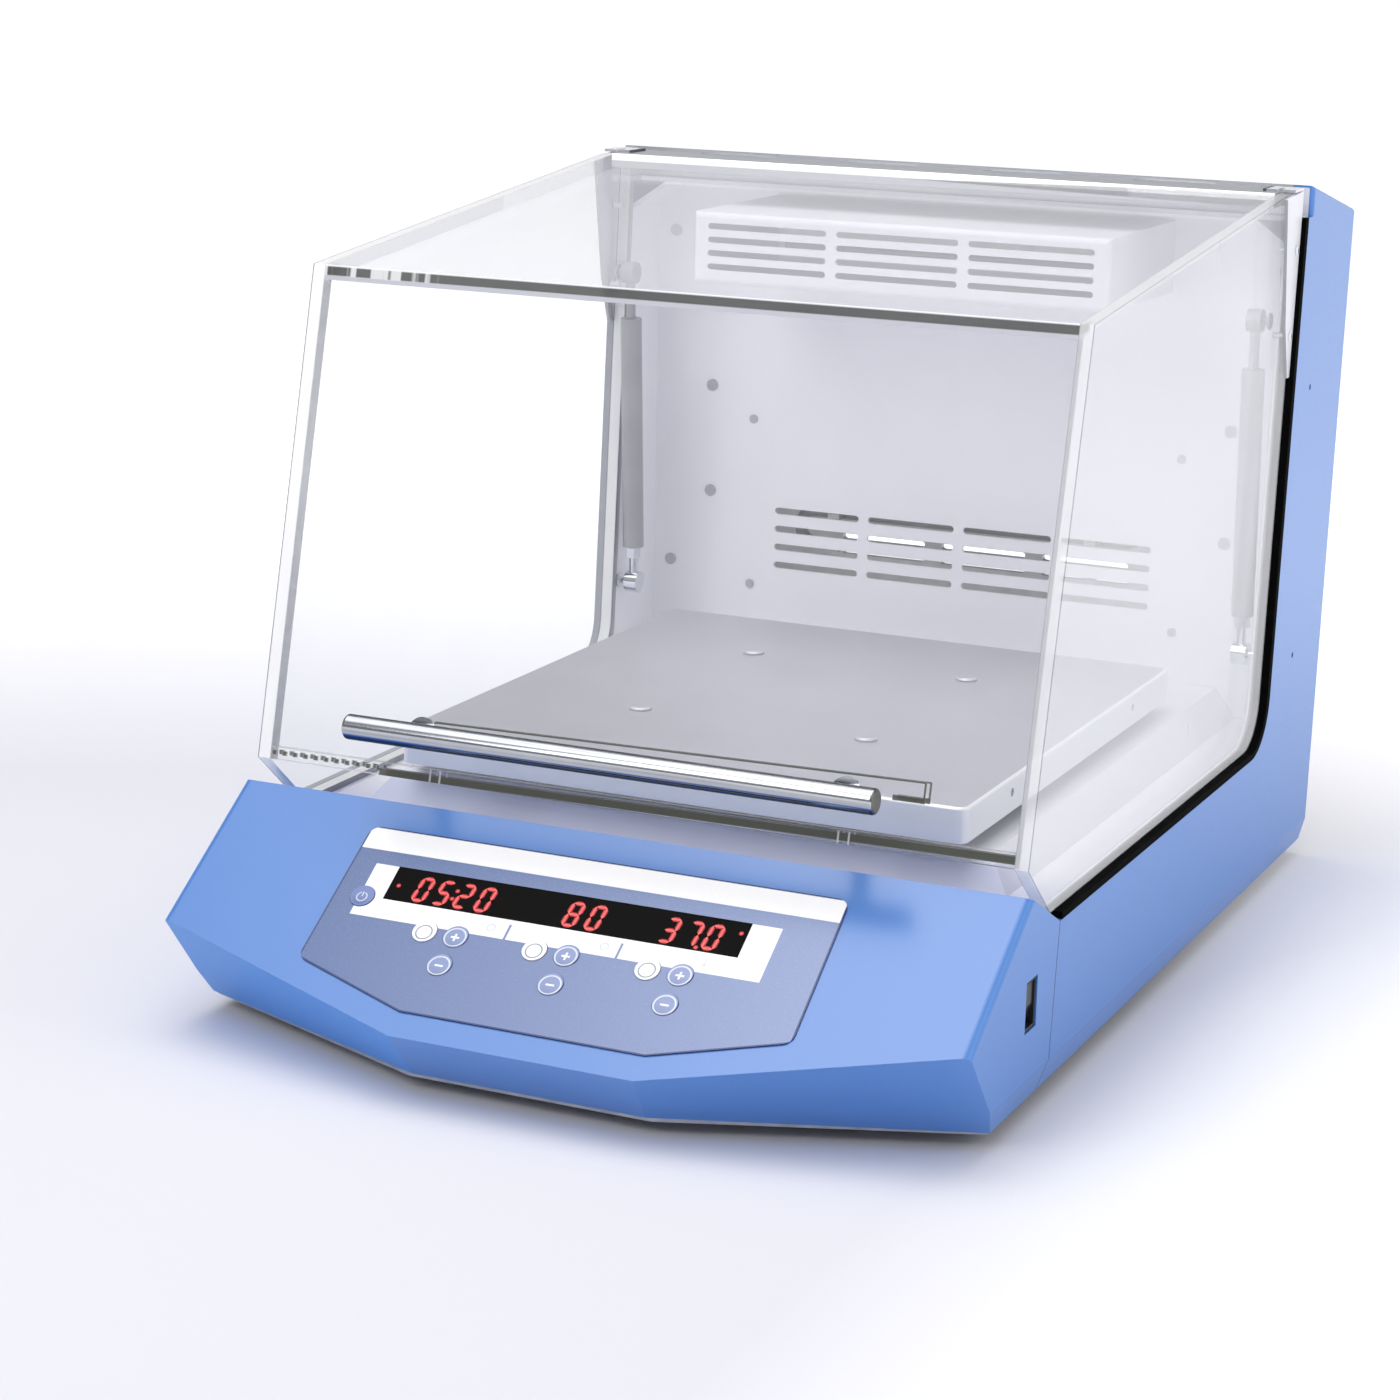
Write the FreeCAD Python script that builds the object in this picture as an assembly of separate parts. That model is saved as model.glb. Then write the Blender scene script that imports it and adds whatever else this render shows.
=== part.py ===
import FreeCAD, Part
import math
import os

from FreeCAD import Placement, Rotation, Vector

# Overall envelope of the instrument
body_width = 465.0
overall_depth = 696.2
overall_height = 442.4
foot_height = 8.0
shell_wall = 3.0
side_top_height = 97.5

# Clearances used throughout
seat_gap = 0.3
running_gap = 0.05
panel_gap = 0.4
cut_overrun = 12.0

# Front console
ridge_height = 37.1
console_height = 122.1
slope_run = 122.6
back_slope_run = 46.0
ridge_half_length = 70.0
corner_setback = 39.6
front_undercut = 21.1
corner_undercut = 84.1
bevel_height = 16.6
bevel_inset = 4.0
seam_lean = 8.0
seam_foot_lean = 8.5
seam_mouth_depth = 9.0
console_edge_radius = 4.5

# Rear body
rear_lean = 22.1
roof_depth = 103.1
roof_drop = 21.8
housing_top_depth = 111.7
housing_front_lean = 22.1
hinge_ledge_drop = 18.4
housing_corner_radius = 35.0
housing_edge_radius = 2.5
side_wall_depth = 11.0
liner_wall = 2.0
back_wall_depth = 68.1
liner_chamfer_run = 24.5
liner_chamfer_drop = 17.0
cover_margin = 15.0
cover_lip = 8.0

# Base pan and feet
pan_thickness = 2.0
pan_inset = 1.0
pan_flange_height = 12.0
pan_flange_inset = 16.0
foot_radius = 15.0
foot_edge = 2.0
foot_edge_distance = 45.0
foot_front_distance = 75.0

# Chamber floor
floor_thickness = 2.5
floor_rim_width = 25.0
floor_rise = 18.5
floor_rise_run = 16.0
floor_front_rim = 22.0
boss_radius = 34.0
boss_height = 1.5

# Tray and its orbit
tray_side_space = 50.5
tray_front_space = 20.9
tray_back_space = 76.0
tray_rise = 46.5
tray_flange = 20.0
tray_thickness = 2.0
tray_corner_radius = 6.0
tray_hole_radius = 2.5
tray_hole_drop = 9.0
tray_front_hole_share = 0.53
tray_side_hole_share = 0.63
bolt_side_space = 100.0
bolt_end_space = 99.8
bolt_shift = 6.8
bolt_head_radius = 6.5
bolt_head_height = 2.2
bolt_shank_radius = 3.0
orbit_radius = 10.0
carrier_thickness = 5.0
carrier_arm_width = 44.0

# Drive
shaft_radius = 11.0
eccentric_radius = 7.0
crank_head_radius = 24.0
crank_head_height = 5.5
crank_head_lift = 2.5
bearing_height = 9.0
bearing_ring = 9.0
idler_side_space = 66.0
idler_shaft_radius = 6.0
idler_pin_radius = 4.5
idler_head_radius = 18.0
idler_bearing_ring = 5.0
drive_plate_thickness = 6.0
drive_plate_height = 58.0
drive_plate_side_space = 6.0
drive_plate_depth = 300.0
hub_wall = 6.0
pulley_radius = 62.0
pulley_height = 14.0
pulley_flange = 3.0
pulley_drop = 5.0
pulley_window_radius = 10.0
pulley_window_count = 6
motor_pulley_radius = 15.5
motor_radius = 42.0
motor_height = 24.0
motor_shaft_radius = 4.0
motor_shaft_gap = 4.0
motor_edge = 3.0
motor_plate_inset = 37.0
motor_offset_y = 86.0
belt_thickness = 2.0
belt_height = 10.0
counterweight_space = 12.0
counterweight_height = 15.0
counterweight_half_angle = 62.0
leg_radius = 6.0
leg_inset = 12.0

# Clear hood
acrylic = 8.0
hood_side_inset = 4.8
hood_front_bottom_lift = 11.9
hood_front_bottom_back = 6.5
hood_front_top_y_back = 63.5
hood_front_top_drop = 39.0
hood_top_rear_drop = 2.9
hood_strip_depth = 43.5
hood_bottom_front_back = 44.0
seal_height = 4.0
seal_depth = 6.0
seal_width = 11.0
seal_front_back = 3.5
lid_gap = 0.5

# Hood hinge
hinge_axis_drop = 6.1
hinge_axis_inset = 110.1
hinge_barrel_radius = 4.3
hinge_pin_radius = 2.0
hinge_leaf = 2.5
hinge_rail_depth = 24.0
hinge_rail_height = 9.0
knuckle_count = 9
knuckle_gap = 0.6
arm_thickness = 2.0
arm_width_top = 36.0
arm_shoulder_drop = 80.0
arm_tip_drop = 112.0
arm_tip_width = 5.0
cap_height = 1.6
cap_length = 20.0
cap_notch = 3.0

# Handle
handle_end_space = 73.2
handle_radius = 7.0
handle_rise = 26.1
handle_reach = 32.9
handle_end_round = 2.0
standoff_radius = 5.0
standoff_inset = 29.5
standoff_foot_radius = 9.0
standoff_foot_height = 2.0

# Gas struts
strut_inset = 11.5
strut_lower_behind = 6.0
strut_lower_rise = 56.5
strut_upper_ahead = 26.0
strut_upper_share = 0.2597
strut_radius = 7.0
strut_wall = 1.0
strut_rod_radius = 3.0
strut_bottom_gap = 24.5
strut_neck = 30.3
strut_piston = 6.0
strut_reserve = 0.5
hood_open_angle = 60.0
strut_gland = 4.0
ball_radius = 4.5
socket_radius = 7.0
stud_flange_radius = 5.0
stud_flange_height = 1.5
stud_radius = 2.5
collar_radius = 5.2
collar_height = 7.0

# Air duct box and slots
duct_side_space = 85.0
duct_depth = 130.0
duct_height = 45.0
duct_top_drop = 29.8
duct_edge_radius = 4.0
duct_slot_margin = 9.9
duct_slot_gap = 6.6
duct_slot_height = 3.9
duct_slot_pitch = 8.4
duct_slot_drop = 8.6
duct_wall = 2.0
duct_mouth_margin = 6.0
slot_rows = 4
duct_slot_columns = 3
wall_slot_side_space = 89.6
wall_slot_gap = 6.6
wall_slot_height = 4.6
wall_slot_pitch = 12.4
wall_slot_top_rise = 103.5
wall_slot_columns = 4

# Membrane panel on the slope
overlay_thickness = 0.8
overlay_half_top = 140.5
overlay_half_low = 142.0
overlay_tip_half = 70.3
overlay_top_s = 130.4
overlay_low_s = 38.0
overlay_tip_s = 15.4
overlay_corner_radius = 7.0
display_left = 112.0
display_right = 95.0
display_low_s = 83.7
display_high_s = 105.9
display_depth = 12.0
display_proud = 0.2
key_radius = 6.8
key_gap = 0.4
key_cap = 0.8
key_proud = 0.6
key_travel = 0.5
key_stem_radius = 2.5
key_stem_length = 8.0
key_minus_share = 0.95
blue_key_x = -124.2
blue_key_s = 83.0
ring_key_first_x = -78.8
key_group_pitch = 65.0
plus_key_offset = 18.6
ring_key_s = 67.0
minus_key_s = 47.8
board_thickness = 1.6
board_margin = 8.0
switch_height = 3.0
power_board_width = 110.0
power_board_depth = 90.0
power_board_inset = 40.0
capacitor_radius = 9.0
capacitor_height = 26.0
board_post = 6.0

# Mains switch in the right side
rocker_front_y = 122.1
rocker_width = 12.0
rocker_height = 23.0
rocker_low_z = 53.0
rocker_frame = 2.0
rocker_depth = 20.0
rocker_recess = 0.8
rocker_tilt = 8.0
rocker_thickness = 5.0
rocker_back_share = 0.33

# Mains inlet and rear vents
inlet_width = 27.0
inlet_height = 20.0
inlet_flange = 5.0
inlet_depth = 22.0
inlet_side_distance = 82.5
inlet_rise = 56.0
inlet_proud = 1.5
inlet_pin_length = 12.0
inlet_pin_width = 2.0
inlet_pin_height = 5.0
inlet_pin_pitch = 7.0
inlet_cavity_wall = 2.0
rear_slot_length = 60.0
rear_slot_height = 4.0
rear_slot_pitch = 10.0
rear_slot_rows = 6
rear_slot_columns = 3
rear_slot_column_pitch = 72.0
rear_slot_top_rise = 170.0

# Fan, heater, cooling coil and sensor behind the liner
fan_heater_space = 75.0
fan_radius = 58.0
fan_hub_radius = 16.0
fan_front_gap = 6.0
fan_width = 20.0
fan_plate = 1.5
fan_blade = 1.5
fan_blade_count = 12
fan_shaft_radius = 3.0
fan_motor_radius = 30.0
fan_motor_height = 14.0
fan_frame_half = 68.0
fan_frame_thickness = 2.0
fan_post_radius = 4.0
fan_post_inset = 6.0
fan_eye_share = 0.72
fan_blade_start_share = 0.5
fan_blade_end_share = 0.98
fan_blade_sweep = 34.0
fan_blade_bow_share = 0.3
tube_radius = 4.0
tube_offset = 16.0
heater_side_space = 56.5
heater_pitch = 26.0
heater_passes = 2
heater_drop = 38.9
heater_clip_share = 0.85
coil_side_space = 101.5
coil_pitch = 22.0
coil_passes = 3
coil_fan_space = 12.0
coil_clip_share = 0.75
coil_port_rise = 62.0
coil_port_x = 60.0
coil_port_share = 0.12
clip_width = 8.0
sensor_radius = 2.5
sensor_length = 60.0
sensor_fan_drop = 35.0
sensor_side_space = 56.5

# Screws that hold covers and liner
screw_head_radius = 3.0
screw_head_height = 1.0
wall_screw_radius = 4.0
side_screw_depth = 83.0
side_screw_top_drop = 125.0
side_screw_low_rise = 49.5
liner_screw_inset = 41.5
liner_screw_shares = (0.3496, 0.5724)
liner_small_inset = 72.5
liner_small_shares = (0.1593, 0.509)
liner_stud_inset = 12.5
liner_stud_shares = (0.1934, 0.8895)
hood_screw_ahead = 13.0
hood_screw_high_drop = 31.0
hood_screw_low_drop = 82.0

# Places worked out from the driving sizes
half_width = body_width / 2
front_y = -overall_depth / 2
rear_y = overall_depth / 2
console_top_y = front_y + slope_run
console_rear_y = console_top_y + back_slope_run
roof_rear_height = overall_height - roof_drop
housing_ledge_height = overall_height - hinge_ledge_drop
housing_front_top_y = rear_y - housing_top_depth
chamber_half = half_width - side_wall_depth
back_wall_y = rear_y - back_wall_depth
floor_top = side_top_height + floor_rise
liner_top = housing_ledge_height - shell_wall - seat_gap
wall_height = liner_top - side_top_height
duct_half_width = chamber_half - duct_side_space
inlet_x = inlet_side_distance - half_width
slope_angle = math.degrees(math.atan2(console_height - ridge_height, slope_run))
shell_low = foot_height + pan_thickness
rear_face_height = roof_rear_height - shell_low
rear_angle = math.degrees(math.atan2(rear_face_height, rear_lean))
tray_front_y = console_rear_y + tray_front_space
tray_back_y = back_wall_y - tray_back_space
tray_centre_y = (tray_front_y + tray_back_y) / 2
tray_half = chamber_half - tray_side_space
tray_top_height = side_top_height + tray_rise
bolt_spread_x = tray_half - bolt_side_space
bolt_spread_y = (tray_back_y - tray_front_y) / 2 - bolt_end_space
idler_spread = tray_half - idler_side_space
idler_hub_radius = idler_shaft_radius + idler_bearing_ring + hub_wall
counterweight_radius = idler_spread - idler_hub_radius - counterweight_space
drive_plate_half = tray_half - drive_plate_side_space
crank_y = tray_centre_y + orbit_radius
hinge_y = rear_y - hinge_axis_inset
hinge_z = overall_height - hinge_axis_drop
hood_outer_half = half_width - hood_side_inset
hood_inner_half = hood_outer_half - acrylic
handle_length = 2 * (hood_outer_half - handle_end_space)
standoff_spread = handle_length / 2 - standoff_inset
strut_x = chamber_half - strut_inset
space_size = overall_depth + body_width
seal_corner_radius = housing_corner_radius - (seal_height + seal_depth) / 2


def housing_front(z):
    """Depth position of the rear housing's leaning front edge at height z."""
    share = (z - side_top_height) / (housing_ledge_height - side_top_height)
    return housing_front_top_y - housing_front_lean * (1 - share)


def box(x_low, x_high, y_low, y_high, z_low, z_high):
    """Block between two limits on each axis."""
    corner = Vector(x_low, y_low, z_low)
    return Part.makeBox(x_high - x_low, y_high - y_low, z_high - z_low, corner)


def cylinder(radius, height, base, axis=Vector(0, 0, 1)):
    """Round bar from its base point along an axis."""
    return Part.makeCylinder(radius, height, base, axis)


def tilted(shape, y, z, angle):
    """Shape modelled flat, turned about X by an angle and set at (y, z)."""
    place = Placement(Vector(0, y, z), Rotation(Vector(1, 0, 0), angle))
    moved = shape.copy()
    moved.Placement = place.multiply(moved.Placement)
    return moved


def rounded_outline(corners):
    """Closed outline through (point, radius) corners, with arcs where the radius isn't zero."""
    rounds = []
    count = len(corners)
    for index, (point, radius) in enumerate(corners):
        before = (corners[index - 1][0] - point).normalize()
        after = (corners[(index + 1) % count][0] - point).normalize()
        if radius > 0:
            turn = before.getAngle(after) / 2
            reach = radius / math.tan(turn)
            inward = (before + after).normalize()
            middle = point + inward * (radius / math.sin(turn) - radius)
            rounds.append((point + before * reach, middle, point + after * reach))
        else:
            rounds.append((point, None, point))
    edges = []
    for index, (start, middle, end) in enumerate(rounds):
        if middle:
            edges.append(Part.Arc(start, middle, end).toShape())
        following = rounds[(index + 1) % count][0]
        edges.append(Part.LineSegment(end, following).toShape())
    return Part.Face(Part.Wire(edges))


def side_face(points, x=0.0):
    """Face in the plane x from (y, z) or (y, z, radius) points."""
    corners = [(Vector(x, point[0], point[1]), point[2] if len(point) > 2 else 0) for point in points]
    return rounded_outline(corners)


def side_profile(points, x_low, x_high):
    """Solid with a constant side view between two x limits."""
    return side_face(points, x_low).extrude(Vector(x_high - x_low, 0, 0))


def plan_profile(points, z_low, z_high):
    """Solid with a constant plan between two heights, from (x, y) or (x, y, radius) points."""
    corners = [(Vector(point[0], point[1], z_low), point[2] if len(point) > 2 else 0) for point in points]
    return rounded_outline(corners).extrude(Vector(0, 0, z_high - z_low))


def beyond_plane(point, normal):
    """Block that fills all space on the outer side of a plane."""
    half = space_size
    block = box(-half, half, -half, half, 0, half)
    block.Placement = Placement(point, Rotation(Vector(0, 0, 1), normal))
    return block


def slot(left, right, radius, z, low, high):
    """Slot with round ends in the XZ plane, cut from a low to a high y."""
    under_left, under_right = (Vector(x, low, z - radius) for x in (left, right))
    over_left, over_right = (Vector(x, low, z + radius) for x in (left, right))
    edges = [
        Part.LineSegment(under_left, under_right).toShape(),
        Part.Arc(under_right, Vector(right + radius, low, z), over_right).toShape(),
        Part.LineSegment(over_right, over_left).toShape(),
        Part.Arc(over_left, Vector(left - radius, low, z), under_left).toShape(),
    ]
    return Part.Face(Part.Wire(edges)).extrude(Vector(0, high - low, 0))


def slot_grid(columns, rows, length, gap, height, pitch, top, low, high):
    """Slots in columns centred on x, counted down from the top row's height."""
    slots = []
    radius = height / 2
    for column in range(columns):
        centre = (column - (columns - 1) / 2) * (length + gap)
        left = centre - length / 2 + radius
        right = centre + length / 2 - radius
        for row in range(rows):
            slots.append(slot(left, right, radius, top - row * pitch, low, high))
    return slots


# Front console shell

def console_outline():
    """Side view of the console, closed along the seam to the rear body."""
    return [
        (front_y + front_undercut, shell_low),
        (front_y, ridge_height),
        (console_top_y, console_height),
        (console_rear_y, side_top_height),
        (console_rear_y - seam_lean, foot_height + bevel_height),
        (console_rear_y - seam_lean - seam_foot_lean, shell_low),
    ]


def facet_planes():
    """The two side facets under the ridge, as (point, outward normal)."""
    slope_rise = (console_height - ridge_height) / slope_run
    corner_z = ridge_height + corner_setback * slope_rise
    planes = []
    for side in (-1, 1):
        middle = Vector(side * ridge_half_length, front_y, ridge_height)
        corner = Vector(side * half_width, front_y + corner_setback, corner_z)
        low = Vector(side * (half_width - bevel_inset), front_y + corner_undercut, foot_height)
        normal = (corner - middle).cross(low - middle) * -side
        planes.append((middle, normal.normalize()))
    return planes


def bevel_planes():
    """The lower side bevels, as (point, outward normal)."""
    planes = []
    for side in (-1, 1):
        ridge = Vector(side * half_width, 0, foot_height + bevel_height)
        planes.append((ridge, Vector(side * bevel_height, 0, -bevel_inset).normalize()))
    return planes


def trim(solid, planes, inset):
    """Cut away what lies beyond each plane, after moving it inward."""
    for point, normal in planes:
        solid = solid.cut(beyond_plane(point - normal * inset, normal))
    return solid


def console_solid(inset):
    """Console body drawn in on every outer face by an inset."""
    face = side_face(console_outline(), inset - half_width)
    if inset > 0:
        face = face.makeOffset2D(-inset, 2)
    solid = face.extrude(Vector(body_width - 2 * inset, 0, 0))
    return trim(solid, facet_planes() + bevel_planes(), inset)


def console_cavity():
    """Hollow of the console, open below and at the back."""
    cavity = console_solid(shell_wall)
    inner = half_width - shell_wall
    low = shell_low
    floor = min(cavity.Faces, key=lambda face: face.CenterOfMass.z)
    mouth = floor.extrude(Vector(0, 0, -shell_wall - cut_overrun))
    top = side_top_height - shell_wall
    back_low = console_rear_y - seam_lean - seam_foot_lean - 2 * shell_wall
    back = box(-inner, inner, back_low, console_rear_y + cut_overrun, low - cut_overrun, top)
    back = trim(back, bevel_planes(), shell_wall)
    return cavity.fuse([mouth, back])


def slope_holes():
    """Openings through the slope for the display and the key stems."""
    reach = shell_wall + cut_overrun
    holes = [display_block(panel_gap, -reach, reach)]
    for x, s in key_places().values():
        holes.append(cylinder(key_stem_radius + panel_gap, 2 * reach, Vector(x, s, -reach)))
    return [on_slope(hole) for hole in holes]


def front_console_shell():
    outer = console_solid(0)
    outer = outer.makeFillet(console_edge_radius, [edge for edge in outer.Edges if is_slope_side(edge)])
    shell = outer.cut(console_cavity())
    return shell.cut(slope_holes() + [rocker_opening()])


def is_slope_side(edge):
    """Edges where the slope meets a side of the console."""
    ends = [vertex.Point for vertex in edge.Vertexes]
    at_side = all(abs(abs(end.x) - half_width) < panel_gap for end in ends)
    low, high = sorted(end.z for end in ends)
    on_the_slope = low > ridge_height and max(end.y for end in ends) < console_top_y + panel_gap
    return at_side and on_the_slope and high > low + panel_gap


def on_slope(shape):
    """Set a shape drawn flat, with y up the slope, on the console's slope."""
    return tilted(shape, front_y, ridge_height, slope_angle)


# Rear body shell

def rear_outline():
    """Side view of the rear body, with the rounded inner corner."""
    low = shell_low
    rear_low = rear_y - rear_lean
    return [
        (console_rear_y - seam_lean - seam_foot_lean + panel_gap, low),
        (console_rear_y - seam_lean + panel_gap, foot_height + bevel_height),
        (console_rear_y + panel_gap, side_top_height),
        (housing_front(side_top_height), side_top_height, housing_corner_radius),
        (housing_front(housing_ledge_height), housing_ledge_height),
        (rear_y - roof_depth, housing_ledge_height),
        (rear_y - roof_depth, overall_height),
        (rear_y, roof_rear_height),
        (rear_low, low),
    ]


def rear_solid(inset):
    """Rear body drawn in on every outer face by an inset."""
    face = side_face(rear_outline(), inset - half_width)
    if inset > 0:
        face = face.makeOffset2D(-inset, 2)
    solid = face.extrude(Vector(body_width - 2 * inset, 0, 0))
    return trim(solid, bevel_planes(), inset)


def rear_body_shell():
    inner = half_width - shell_wall
    low = shell_low
    cavity = rear_solid(shell_wall)
    floor = min(cavity.Faces, key=lambda face: face.CenterOfMass.z)
    mouth = floor.extrude(Vector(0, 0, -shell_wall - cut_overrun))
    front = box(
        -inner, inner,
        console_rear_y - seam_lean - seam_foot_lean - cut_overrun, console_rear_y + seam_mouth_depth,
        low - cut_overrun, side_top_height - shell_wall,
    )
    front = trim(front, bevel_planes(), shell_wall)
    chamber = box(
        -chamber_half, chamber_half,
        console_rear_y - cut_overrun, back_wall_y,
        side_top_height - shell_wall - cut_overrun, housing_ledge_height - shell_wall,
    )
    outer = rear_solid(0)
    outer = outer.makeFillet(housing_edge_radius, [edge for edge in outer.Edges if is_housing_edge(edge)])
    shell = outer.cut([cavity, mouth, front, chamber])
    return shell.cut([rear_opening(0, -cut_overrun, shell_wall + cut_overrun)] + side_screw_holes())


def is_housing_edge(edge):
    """Folded edges at the sides and the back of the rear housing's roof."""
    ends = [vertex.Point for vertex in edge.Vertexes]
    low = roof_rear_height - panel_gap
    on_roof = all(end.z > low and end.y > rear_y - roof_depth - panel_gap for end in ends)
    level = abs(ends[0].z - ends[1].z) < panel_gap
    across = abs(ends[0].x - ends[1].x) > panel_gap
    at_rear = all(end.y > rear_y - panel_gap for end in ends)
    return on_roof and (at_rear if level and across else not level)


def on_rear_face(shape):
    """Set a shape drawn flat, with y up and z inward, on the leaning rear face."""
    return tilted(shape, rear_y - rear_lean, shell_low, rear_angle)


def rear_opening(gap, low, high):
    """Block through the rear face where the cover sits, smaller by a gap, from a low to a high depth."""
    side = half_width - cover_margin - gap
    foot = cover_margin + gap
    head = math.hypot(rear_face_height, rear_lean) - cover_margin - gap
    return on_rear_face(box(-side, side, foot, head, low, high))


def rear_cover():
    plate = rear_opening(panel_gap, 0, shell_wall)
    lip = rear_opening(panel_gap - cover_lip, shell_wall, shell_wall + pan_thickness)
    vents = slot_grid(
        rear_slot_columns, rear_slot_rows, rear_slot_length, rear_slot_column_pitch - rear_slot_length,
        rear_slot_height, rear_slot_pitch, foot_height + rear_slot_top_rise,
        back_wall_y, rear_y + cut_overrun,
    )
    ports = [coil_port(side, tube_radius + seat_gap, cut_overrun) for side in (-1, 1)]
    return plate.fuse(lip).cut(vents + ports + [inlet_opening()])


def side_screw_places():
    """Points on the right side of the rear housing where its screws sit."""
    y = rear_y - side_screw_depth
    heights = (side_top_height + side_screw_low_rise, overall_height - side_screw_top_drop)
    return [Vector(half_width, y, z) for z in heights]


def side_screw_holes():
    holes = []
    for side in (-1, 1):
        for point in side_screw_places():
            start = Vector(side * (point.x + cut_overrun), point.y, point.z)
            reach = shell_wall + 2 * cut_overrun
            holes.append(cylinder(screw_shank(), reach, start, Vector(-side, 0, 0)))
    return holes


def screw_shank():
    """Shank radius of a cover screw, with its clearance."""
    return screw_head_radius / 2 + panel_gap


def screw(point, inward, head_radius, shank_length):
    """Low round head standing on a face, with a shank through it."""
    head = cylinder(head_radius, screw_head_height, point, inward * -1)
    shank = cylinder(head_radius / 2, shank_length, point, inward)
    return head.fuse(shank)


def cover_screws():
    screws = []
    for side in (-1, 1):
        for point in side_screw_places():
            place = Vector(side * (point.x - screw_head_height), point.y, point.z)
            radius = screw_shank() - panel_gap
            screws.append(cylinder(radius, shell_wall + screw_head_height, place, Vector(-side, 0, 0)))
    for place, radius in liner_screw_places():
        screws.append(screw(place, Vector(0, 1, 0), radius, liner_wall + screw_head_height))
    return Part.makeCompound(screws)


def liner_screw_places():
    """Points on the chamber's back wall where its screws and studs sit, with their head radii."""
    places = []
    rows = (
        (liner_screw_inset, liner_screw_shares, wall_screw_radius),
        (liner_small_inset, liner_small_shares, screw_head_radius),
        (liner_stud_inset, liner_stud_shares, wall_screw_radius),
    )
    for inset, shares, radius in rows:
        for share in shares:
            z = side_top_height + wall_height * share
            places.extend((Vector(side * (chamber_half - inset), back_wall_y, z), radius) for side in (-1, 1))
    return places


# Base pan and feet

def pan_plan(inset):
    """Plan outline of the instrument's underside."""
    side = half_width - bevel_inset - inset
    low_front = front_y + front_undercut + inset
    corner = front_y + corner_undercut + inset
    rear = rear_y - rear_lean - inset
    return [
        (-side, rear), (-side, corner), (-ridge_half_length, low_front),
        (ridge_half_length, low_front), (side, corner), (side, rear),
    ]


def foot_places():
    places = []
    for side in (-1, 1):
        x = side * (half_width - foot_edge_distance)
        places.append(Vector(x, front_y + corner_undercut + foot_edge_distance - foot_radius, 0))
        places.append(Vector(x, rear_y - rear_lean - foot_front_distance, 0))
    return places


def base_pan():
    top = foot_height + pan_thickness
    plate = plan_profile(pan_plan(pan_inset), foot_height, top)
    flanges = []
    for side in (-1, 1):
        outer = side * (half_width - pan_flange_inset)
        inner = outer - side * pan_thickness
        flanges.append(box(
            min(outer, inner), max(outer, inner),
            front_y + corner_undercut + pan_flange_inset, rear_y - rear_lean - pan_flange_inset,
            top, top + pan_flange_height,
        ))
    return plate.fuse(flanges)


def feet():
    pads = []
    for place in foot_places():
        pad = cylinder(foot_radius, foot_height, place)
        pads.append(pad.makeChamfer(foot_edge, [pad.Edges[0]]))
    return Part.makeCompound(pads)


# Chamber floor, liner and air duct

def chamber_floor():
    side = chamber_half - seat_gap
    front = console_rear_y + panel_gap + seat_gap
    back = back_wall_y - seat_gap
    low = side_top_height - floor_thickness
    rim = box(-side, side, front, back, low, side_top_height)

    def mound(drop):
        """Raised middle of the floor, lowered and drawn in by the sheet's thickness."""
        base_side = side - floor_rim_width - drop
        top_side = base_side - floor_rise_run
        base_front = front + floor_front_rim + drop
        top_front = base_front + floor_rise_run
        rear = back - drop
        outlines = []
        for half, ahead, z in ((base_side, base_front, low), (top_side, top_front, floor_top - drop)):
            plan = ((-half, ahead), (half, ahead), (half, rear), (-half, rear), (-half, ahead))
            outlines.append(Part.makePolygon([Vector(x, y, z) for x, y in plan]))
        return Part.makeLoft(outlines, True, True)

    bosses = [cylinder(boss_radius, boss_height + floor_thickness, Vector(x, y, floor_top - floor_thickness))
              for x, y in shaft_places()]
    below = mound(floor_thickness)
    floor = rim.fuse(mound(0)).cut(below)
    floor = floor.fuse(bosses)
    holes = [cylinder(radius + panel_gap, floor_rise + 2 * cut_overrun, Vector(x, y, low - cut_overrun))
             for (x, y), radius in zip(shaft_places(), shaft_radii())]
    return floor.cut(holes).removeSplitter()


def shaft_places():
    """Plan positions of the drive shaft and the two idler shafts."""
    return [(0, crank_y), (-idler_spread, crank_y), (idler_spread, crank_y)]


def shaft_radii():
    return [shaft_radius, idler_shaft_radius, idler_shaft_radius]


def liner_section(wall):
    """Front view of the liner's channel, outer at a wall's distance."""
    side = chamber_half + wall
    top = liner_top - liner_wall + wall
    low = side_top_height - shell_wall
    run = liner_chamfer_run
    drop = liner_chamfer_drop
    return [
        (-side, low), (-side, top - drop), (-side + run, top),
        (side - run, top), (side, top - drop), (side, low),
    ]


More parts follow.
